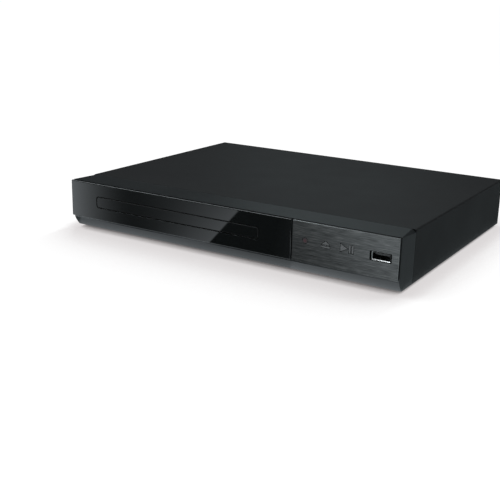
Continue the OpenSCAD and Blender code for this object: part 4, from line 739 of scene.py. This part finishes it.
def data_shell():
    """Folded socket shell: a rounded tube carried back from its mouth, whose lip flares in at 45 degrees.

    Each ring of the wall is the outline drawn in by its own inset, out along one wall, back along the other.
    """
    low, high = corners("usb_shell")
    half = (high - low) / 2
    middle = (high + low) / 2
    wall, flare, corner = 0.3, 0.62, 0.8
    depth = high[1] - low[1]
    rings = [(0.0, depth), (0.0, 0.1), (0.1, 0.0), (flare, flare - 0.1), (flare, flare + 0.5),
             (wall, flare + 1.1), (wall, depth), (0.0, depth)]
    loops = [around(half[0] - inset, half[2] - inset, max(corner - inset, 0.15)) for inset, _ in rings]
    points = np.array([np.column_stack([loop[:, 0] + middle[0], np.full(len(loop), low[1] + back),
                                        loop[:, 1] + middle[2]]) for loop, (_, back) in zip(loops, rings)])
    faces = grid_faces(len(rings), points.shape[1], wrap_columns=True)
    piece = mesh_object("usb_shell_folded", points.reshape(-1, 3), faces, [finishes["bright_steel"]], 25)
    return stands_for(piece, "cabinet", "bright_steel", "usb_shell")


VENT_DEPTH, VENT_HALF, VENT_REACH = 0.15, 0.16, 0.6


def vent_cross(across, along, rise):
    """Cross scored in a can's top: VENT_DEPTH within VENT_HALF of a middle line, out to VENT_REACH of r."""
    line = np.minimum(abs(across), abs(along))
    r = np.hypot(across, along)
    return VENT_DEPTH * ((line < VENT_HALF) & (r < VENT_REACH * r.max()) & (rise > rise[-1, 0] - 1e-6))


def can_profile(r, h):
    """Sleeve with rounded ends, drawn in 0.45 mm by a crimp 2 mm up, round a top sunk by 0.25 mm."""
    top = [(share * (r - 0.8), h - 0.25) for share in np.linspace(1, 0, 9)]
    return [(0, 0), (r - 0.3, 0), (r, 0.3), (r, 1.6), (r - 0.45, 2.0), (r - 0.45, 2.2), (r, 2.6),
            (r, h - 0.3), (r - 0.3, h), (r - 0.7, h), *top]


# The lower nine rows of a can's faces show the sleeve, the nine above them the bare top
CAN_BANDS = [0] * 9 + [1] * 9


def cans(name, boxes, axis, slot):
    """Electrolytic cans: a vinyl sleeve shrunk on a drawn aluminium can whose scored top shows."""
    size = boxes[:, 1] - boxes[:, 0]
    along = size @ axis
    profiles = [can_profile(r, h) for r, h in zip(size[:, 0] / 2, along)]
    centres = boxes.mean(axis=1) - along[:, None] / 2 * axis
    return turned(name, profiles, centres, axis, [finishes[slot], finishes["sink_aluminium"]],
                  steps=64, sink=vent_cross, bands=CAN_BANDS)


def fuse(low, high, cap=5.0, step=0.25):
    """Lying fuse: a ceramic tube, drawn in by step between two plated caps with round rims, cap mm long."""
    r, long = (high - low)[[0, 1]] / (2, 1)
    profile = [(0, 0), (r - 0.3, 0), (r, 0.3), (r, cap), (r - step, cap), (r - step, long - cap),
               (r, long - cap), (r, long - 0.3), (r - 0.3, long), (0, long)]
    return turned("fuse", profile, (low + high) / 2 - long / 2 * Y, Y,
                  [finishes["socket_cream"], finishes["bright_steel"]], bands=[1, 1, 1, 1, 0, 1, 1, 1, 1])


def ribbed_plate(low, high, ribs=8, depth=0.35):
    """Extruded heat sink plate: a rectangle carried along y, narrower by depth at each side in a groove."""
    count = 4 * ribs + 1
    draw = depth * (np.arange(count) % 4 // 2)
    y = np.linspace(low[1], high[1], count)
    left, right = low[0] + draw, high[0] - draw
    foot, top = np.full(count, low[2]), np.full(count, high[2])
    points = np.stack([np.column_stack(corner) for corner in
                       ((left, y, foot), (right, y, foot), (right, y, top), (left, y, top))], axis=1)
    ends = np.arange(4) + [[0], [4 * (count - 1)]]
    faces = np.concatenate([grid_faces(count, 4, wrap_columns=True), ends])
    return mesh_object("sink_plate", points.reshape(-1, 3), faces, [finishes["sink_aluminium"]], 20)


def joined(name, parts):
    """One piece from several: their meshes one after another, each face keeping its own material."""
    mesh = bpy.data.meshes.new(name)
    work = bmesh.new()
    places = []
    for part in parts:
        work.from_mesh(part.data)
        places.append(read(part.data.polygons, "material_index", kind=int) + len(mesh.materials))
        for material in part.data.materials:
            mesh.materials.append(material)
        bpy.data.objects.remove(part)
    work.to_mesh(mesh)
    work.free()
    mesh.polygons.foreach_set("material_index", np.concatenate(places))
    return new_object(name, mesh)


PLATE_T, FUSE_LONG = 2.5, 18


def power_parts():
    """Parts of the power board by their boxes: under PLATE_T thick the sink, over FUSE_LONG the fuse."""
    boxes = solids("power_parts")
    size = boxes[:, 1] - boxes[:, 0]
    thin = size.min(axis=1) < PLATE_T
    long = ~thin & (size[:, 1] > FUSE_LONG)
    parts = [cans("cans", boxes[~thin & ~long], Z, "can_blue")]
    parts += [ribbed_plate(*box) for box in boxes[thin]] + [fuse(*box) for box in boxes[long]]
    return stands_for(joined("power_parts_built", parts), "cabinet", "can_blue", "power_parts")


LEG_PITCH, LEG_W, LEG_T, LEG_IN, LEG_OUT = 1.27, 0.4, 0.15, 0.1, 1.2
KNEE, ANKLE = 0.4, 0.6


def leg_faces():
    """Quads of one leg: a ring between its two outlines of eight points, and three across each outline."""
    k = np.arange(8)
    ring = np.stack([k, (k + 1) % 8, (k + 1) % 8 + 8, k + 8], axis=-1)
    side = np.stack([k, 7 - k, 6 - k, k + 1], axis=-1)[:3]
    return np.concatenate([ring, side, side[:, ::-1] + 8])


def chip_legs():
    """Gull-wing legs of the flat chips: a strip LEG_W wide, out of the side, down a slope and along the board.

    Its upper edge is a path of four points (out, up), its lower edge the same path LEG_T lower or further in.
    """
    legs = []
    for low, high in solids("board_chips"):
        middle, half, rise = (low + high) / 2, (high[0] - low[0]) / 2, (high[2] - low[2]) / 2
        upper = [(-LEG_IN, rise), (KNEE, rise), (ANKLE, LEG_T), (LEG_OUT, LEG_T)]
        lower = [(LEG_OUT, 0), (ANKLE - LEG_T, 0), (KNEE - LEG_T, rise - LEG_T), (-LEG_IN, rise - LEG_T)]
        out, up = np.array(upper + lower).T
        count = int((2 * half - 2) / LEG_PITCH)
        steps = (np.arange(count) - (count - 1) / 2)[:, None, None] * LEG_PITCH
        edges = np.array([[-LEG_W / 2], [LEG_W / 2]])
        row = np.stack(np.broadcast_arrays(half + out, steps + edges, up), axis=-1).reshape(-1, 3)
        for c, s in ((1, 0), (0, 1), (-1, 0), (0, -1)):
            turn = np.array([[c, s, 0], [-s, c, 0], [0, 0, 1]])
            legs.append(row @ turn + (middle[0], middle[1], low[2]))
    points = np.concatenate(legs)
    faces = leg_faces() + 16 * np.arange(len(points) // 16)[:, None, None]
    piece = mesh_object("chip_legs", points, faces.reshape(-1, 4), [finishes["bright_steel"]])
    return stands_for(piece, "cabinet", "bright_steel")


feet()
barrels()
inserts()
pins()
data_shell()
for node, axis, slot in (("signal_capacitors", Z, "can_blue"), ("mains_capacitor", Y, "chip_black")):
    stands_for(cans(node + "_turned", solids(node), axis, slot), "cabinet", slot, node)
power_parts()
chip_legs()

# ---------------------------------------------------------------- studio

def stage_object(name, points, faces, material):
    """A piece of the studio, not of the player: points in bench millimetres."""
    item = new_object(name, new_mesh(name, points, faces, [material]))
    return item


def level_card(name, x0, y0, x1, y1, z, material):
    """A level rectangle of the studio, z above the floor, facing up."""
    return stage_object(name, [(x0, y0, z), (x1, y0, z), (x1, y1, z), (x0, y1, z)], [(0, 1, 2, 3)],
                        material)


# Beside the player the floor's shade fades sooner than before it, and at its left the soonest: over which
# distance from the middle, and how much at the side of each sign of x
BESIDE, PALER = (137, 150), {1: 0.12, -1: 0.22}


def pale_floor():
    """Matt white sweep: white with the player's soft shade, seen straight or mirrored, and bouncing light.

    The shade that the player casts round its foot is drawn from the share of the sky that it hides.
    """
    material, tree, at = material_start("pale_floor")
    path = add(tree, "LightPath")
    seen = add(tree, "Math", {"operation": "MAXIMUM"}, {0: path.outputs["Is Camera Ray"],
                                                        1: path.outputs["Is Glossy Ray"]})
    seen = add(tree, "Math", {"operation": "MAXIMUM"}, {0: seen.outputs[0],
                                                        1: path.outputs["Is Transmission Ray"]})
    sky = add(tree, "AmbientOcclusion", {"samples": 8}, {"Distance": 0.3})
    spot = add(tree, "SeparateXYZ", sockets={"Vector": at})
    open_sky = sky.outputs["AO"]
    for side, more in PALER.items():
        start, end = (side * distance * MM for distance in BESIDE)
        paler = add(tree, "MapRange", sockets={"Value": spot.outputs["X"],
                                               "From Min": start, "From Max": end,
                                               "To Min": 0.0, "To Max": more})
        open_sky = add(tree, "Math", {"operation": "ADD"}, {0: open_sky,
                                                            1: paler.outputs["Result"]}).outputs[0]
    tone = add(tree, "ValToRGB", sockets={"Fac": open_sky},
               stops=[(0.05, linear("5c5858")), (0.40, linear("d8d4d4")), (0.70, linear("d8d4d4")),
                      (0.97, linear("ffffff"))])
    tone = add(tree, "Mix", {"data_type": "RGBA"}, {"Factor": path.outputs["Is Camera Ray"],
                                                    "A": linear("dde9eb"), "B": tone.outputs["Color"]})
    glow = add(tree, "Emission", sockets={"Color": tone.outputs["Result"], "Strength": 0.97})
    shade = add(tree, "BsdfDiffuse", sockets={"Color": (0.12, 0.12, 0.12, 1)})
    white = add(tree, "AddShader", sockets={0: glow.outputs[0], 1: shade.outputs[0]})
    bounce = add(tree, "BsdfDiffuse", sockets={"Color": (0.8, 0.8, 0.8, 1)})
    both = add(tree, "MixShader", sockets={0: seen.outputs[0], 1: bounce.outputs[0], 2: white.outputs[0]})
    add(tree, "OutputMaterial", sockets={"Surface": both.outputs[0]})
    return material


FLOOR = 30000
level_card("floor", -FLOOR, -FLOOR, FLOOR, FLOOR, 0, pale_floor())

# The camera, solved from the corners of the player in the photograph, with distance and target in metres
LENS_MM = 62.14
AZIMUTH, ELEVATION, ROLL, DISTANCE = (math.radians(31.70), math.radians(17.12), math.radians(1.37), 0.710)
TARGET = np.array([-0.0344, -0.00975, -0.0245])
back = np.array([math.sin(AZIMUTH) * math.cos(ELEVATION), -math.cos(AZIMUTH) * math.cos(ELEVATION),
                 math.sin(ELEVATION)])
right = np.cross(-back, (0, 0, 1))
right /= np.linalg.norm(right)
up = np.cross(right, -back)
across = math.cos(ROLL) * right + math.sin(ROLL) * up
upward = -math.sin(ROLL) * right + math.cos(ROLL) * up
eye = TARGET + DISTANCE * back
camera_data = bpy.data.cameras.new("camera")
camera_data.lens = LENS_MM
camera_data.sensor_width = 36
camera_data.clip_end = 100
camera = new_object("camera", camera_data)
camera.matrix_world = Matrix([[*row] for row in np.vstack([
    np.column_stack([across, upward, back, eye]), (0, 0, 0, 1)])])
bpy.context.scene.camera = camera


def only_mirrored(item):
    """Hides a studio card from all but the rays that leave a gloss surface."""
    for way in ("camera", "diffuse", "transmission", "shadow", "volume_scatter"):
        setattr(item, "visible_" + way, False)


def glowing(name, colour=None):
    """Emission of a studio card: one colour, or the card's own tone attribute."""
    material = bpy.data.materials.new(name)
    tree = empty_tree(material)
    colour = colour or add(tree, "Attribute", {"attribute_name": "tone"}).outputs["Color"]
    glow = add(tree, "Emission", sockets={"Color": colour, "Strength": 1.0})
    add(tree, "OutputMaterial", sockets={"Surface": glow.outputs[0]})
    return material


# Grey card on the floor before the player, mirrored in the front plates. The column for place u on the
# plates is where the line from the mirrored eye through (u, 0, z) meets the floor. Before the gloss plate
# its tone is least at DARKEST_U and grows with the square of the distance from there, up to a leaning edge,
# and is dark beyond it. Before the control plate it grows evenly to the right, and upwards.
MIRRORED_EYE = np.array([322.0, 477.7, 184.6])
DARKEST_U, DARKEST, LEFT_GROWTH, RIGHT_GROWTH = -76, 0.14, 2.1, 0.64
EDGE_U, EDGE_Z, EDGE_LEAN, EDGE_SOFT = 5.2, 23.8, 0.884, 0.7
CONTROL_U, CONTROL_TONES = (48, 59, 90, 132), (0.07, 0.13, 0.5, 1.6)
card_u = np.concatenate([np.linspace(-160, EDGE_U - EDGE_SOFT, 40),
                         np.linspace(EDGE_U + EDGE_SOFT, 160, 24)])
card_z = np.concatenate([np.linspace(1.5, 44, 24), [60, 90, 130]])
u, z = np.meshgrid(card_u, card_z)
lean = np.interp(u, [-60, -12, 16, 58], [0, 1, 1, 0])
on_plate = np.stack([u + lean * EDGE_LEAN * (np.minimum(z, 44) - EDGE_Z), 0 * u, z], axis=-1)
card_points = on_plate + (on_plate - MIRRORED_EYE) * (z / (MIRRORED_EYE[2] - z))[..., None]
CARD_Z = 0.3
card_points[..., 2] = CARD_Z
growth = np.where(u < DARKEST_U, LEFT_GROWTH, RIGHT_GROWTH)
upwards = 1 + np.interp(u, [60, 110], [0, 1]) * (z - 20) / 40
tones = np.where(u < EDGE_U, DARKEST + growth * ((u - DARKEST_U) / 60) ** 2,
                 np.interp(u, CONTROL_U, CONTROL_TONES) * upwards)
card = stage_object("grey_card", card_points.reshape(-1, 3), grid_faces(*u.shape), glowing("grey_card"))
attribute = card.data.attributes.new("tone", "FLOAT_COLOR", "POINT")
COOL = np.array([0.93, 1.0, 1.05, 1.0])
attribute.data.foreach_set("color", (tones.reshape(-1, 1) * COOL).reshape(-1))
only_mirrored(card)

# Two pale strips on the floor under the chin, which leans back and mirrors the floor straight below it
CHIN_STRIPS = {"left": (-137, 54, 0.70), "right": (54, 137, 1.0)}
STRIP_FRONT, STRIP_BACK, STRIP_Z = -3.8, 14, 0.25
for side, (x0, x1, tone) in CHIN_STRIPS.items():
    only_mirrored(level_card("chin_strip_" + side, x0, STRIP_FRONT, x1, STRIP_BACK, STRIP_Z,
                             glowing("strip_" + side, tuple(tone * COOL))))

# Grey flags on the floor beside and behind the player keep its sides as dark as the photograph has them
FAR, HALF_W = 1500, 137
FLAGS = {"right": (HALF_W, -160, FAR, FAR), "left": (-FAR, -20, -HALF_W, FAR),
         "rear": (-HALF_W, 222, HALF_W, FAR)}
flag_grey = glowing("flag_grey", linear("646b6d"))
for side, span in FLAGS.items():
    only_mirrored(level_card("flag_" + side, *span, CARD_Z, flag_grey))

# A low bank behind the player: its mirror image brightens the cover's middle and the right of the bezel
BANK_X, BANK_Y, BANK_Z = (-560, -165), 900, (330, 580)
bank = [(BANK_X[i], BANK_Y, BANK_Z[j]) for i, j in ((0, 0), (1, 0), (1, 1), (0, 1))]
only_mirrored(stage_object("rear_bank", bank, [(0, 1, 2, 3)], glowing("bank_grey", linear("a6b2b4"))))

world = bpy.data.worlds.new("studio")
bpy.context.scene.world = world
tree = empty_tree(world)
path = add(tree, "LightPath")
ray = add(tree, "SeparateXYZ", sockets={"Vector": add(tree, "TexCoord").outputs["Generated"]})
low_sky = add(tree, "ValToRGB", sockets={"Fac": ray.outputs["Z"]},
              stops=[(0.0, linear("ffffff")), (0.02, linear("303030")), (0.3, linear("2a2a2a")),
                     (0.6, linear("5a5a5a")), (1.0, linear("b0b0b0"))])
mirror = add(tree, "Math", {"operation": "MAXIMUM"}, {0: path.outputs["Is Glossy Ray"],
                                                      1: path.outputs["Is Transmission Ray"]})
level = add(tree, "Mix", {"data_type": "FLOAT"},
            {"Factor": mirror.outputs[0], "A": 0.44, "B": low_sky.outputs["Color"]})
level = add(tree, "Mix", {"data_type": "FLOAT"},
            {"Factor": path.outputs["Is Camera Ray"], "A": level.outputs["Result"], "B": 1.0})
sky = add(tree, "Background", sockets={"Color": linear("ffffff"), "Strength": level.outputs["Result"]})
add(tree, "OutputWorld", sockets={"Surface": sky.outputs[0]})


def softbox(name, at, towards, width, height, watts):
    """A rectangular studio light: its -Z looks from at to towards, both in metres."""
    data = bpy.data.lights.new(name, "AREA")
    data.shape, data.size, data.size_y, data.energy = "RECTANGLE", width, height, watts
    data.color = COOL[:3]
    item = new_object(name, data)
    z_axis = np.array(at, float) - np.array(towards, float)
    z_axis /= np.linalg.norm(z_axis)
    x_axis = np.cross((0, 1, 0) if abs(z_axis[2]) > 0.9 else (0, 0, 1), z_axis)
    x_axis /= np.linalg.norm(x_axis)
    turn = np.column_stack([x_axis, np.cross(z_axis, x_axis), z_axis, at])
    item.matrix_world = Matrix([[*row] for row in np.vstack([turn, (0, 0, 0, 1)])])
    return item


softbox("front_left", (-0.63, -0.36, 0.85), (-0.63, -0.36, 0), 0.62, 0.2, 3.0)
softbox("overhead", (0.15, 0.05, 1.2), (0, 0, 0.04), 0.8, 0.8, 3.2)

bpy.context.scene.view_settings.view_transform = "Standard"
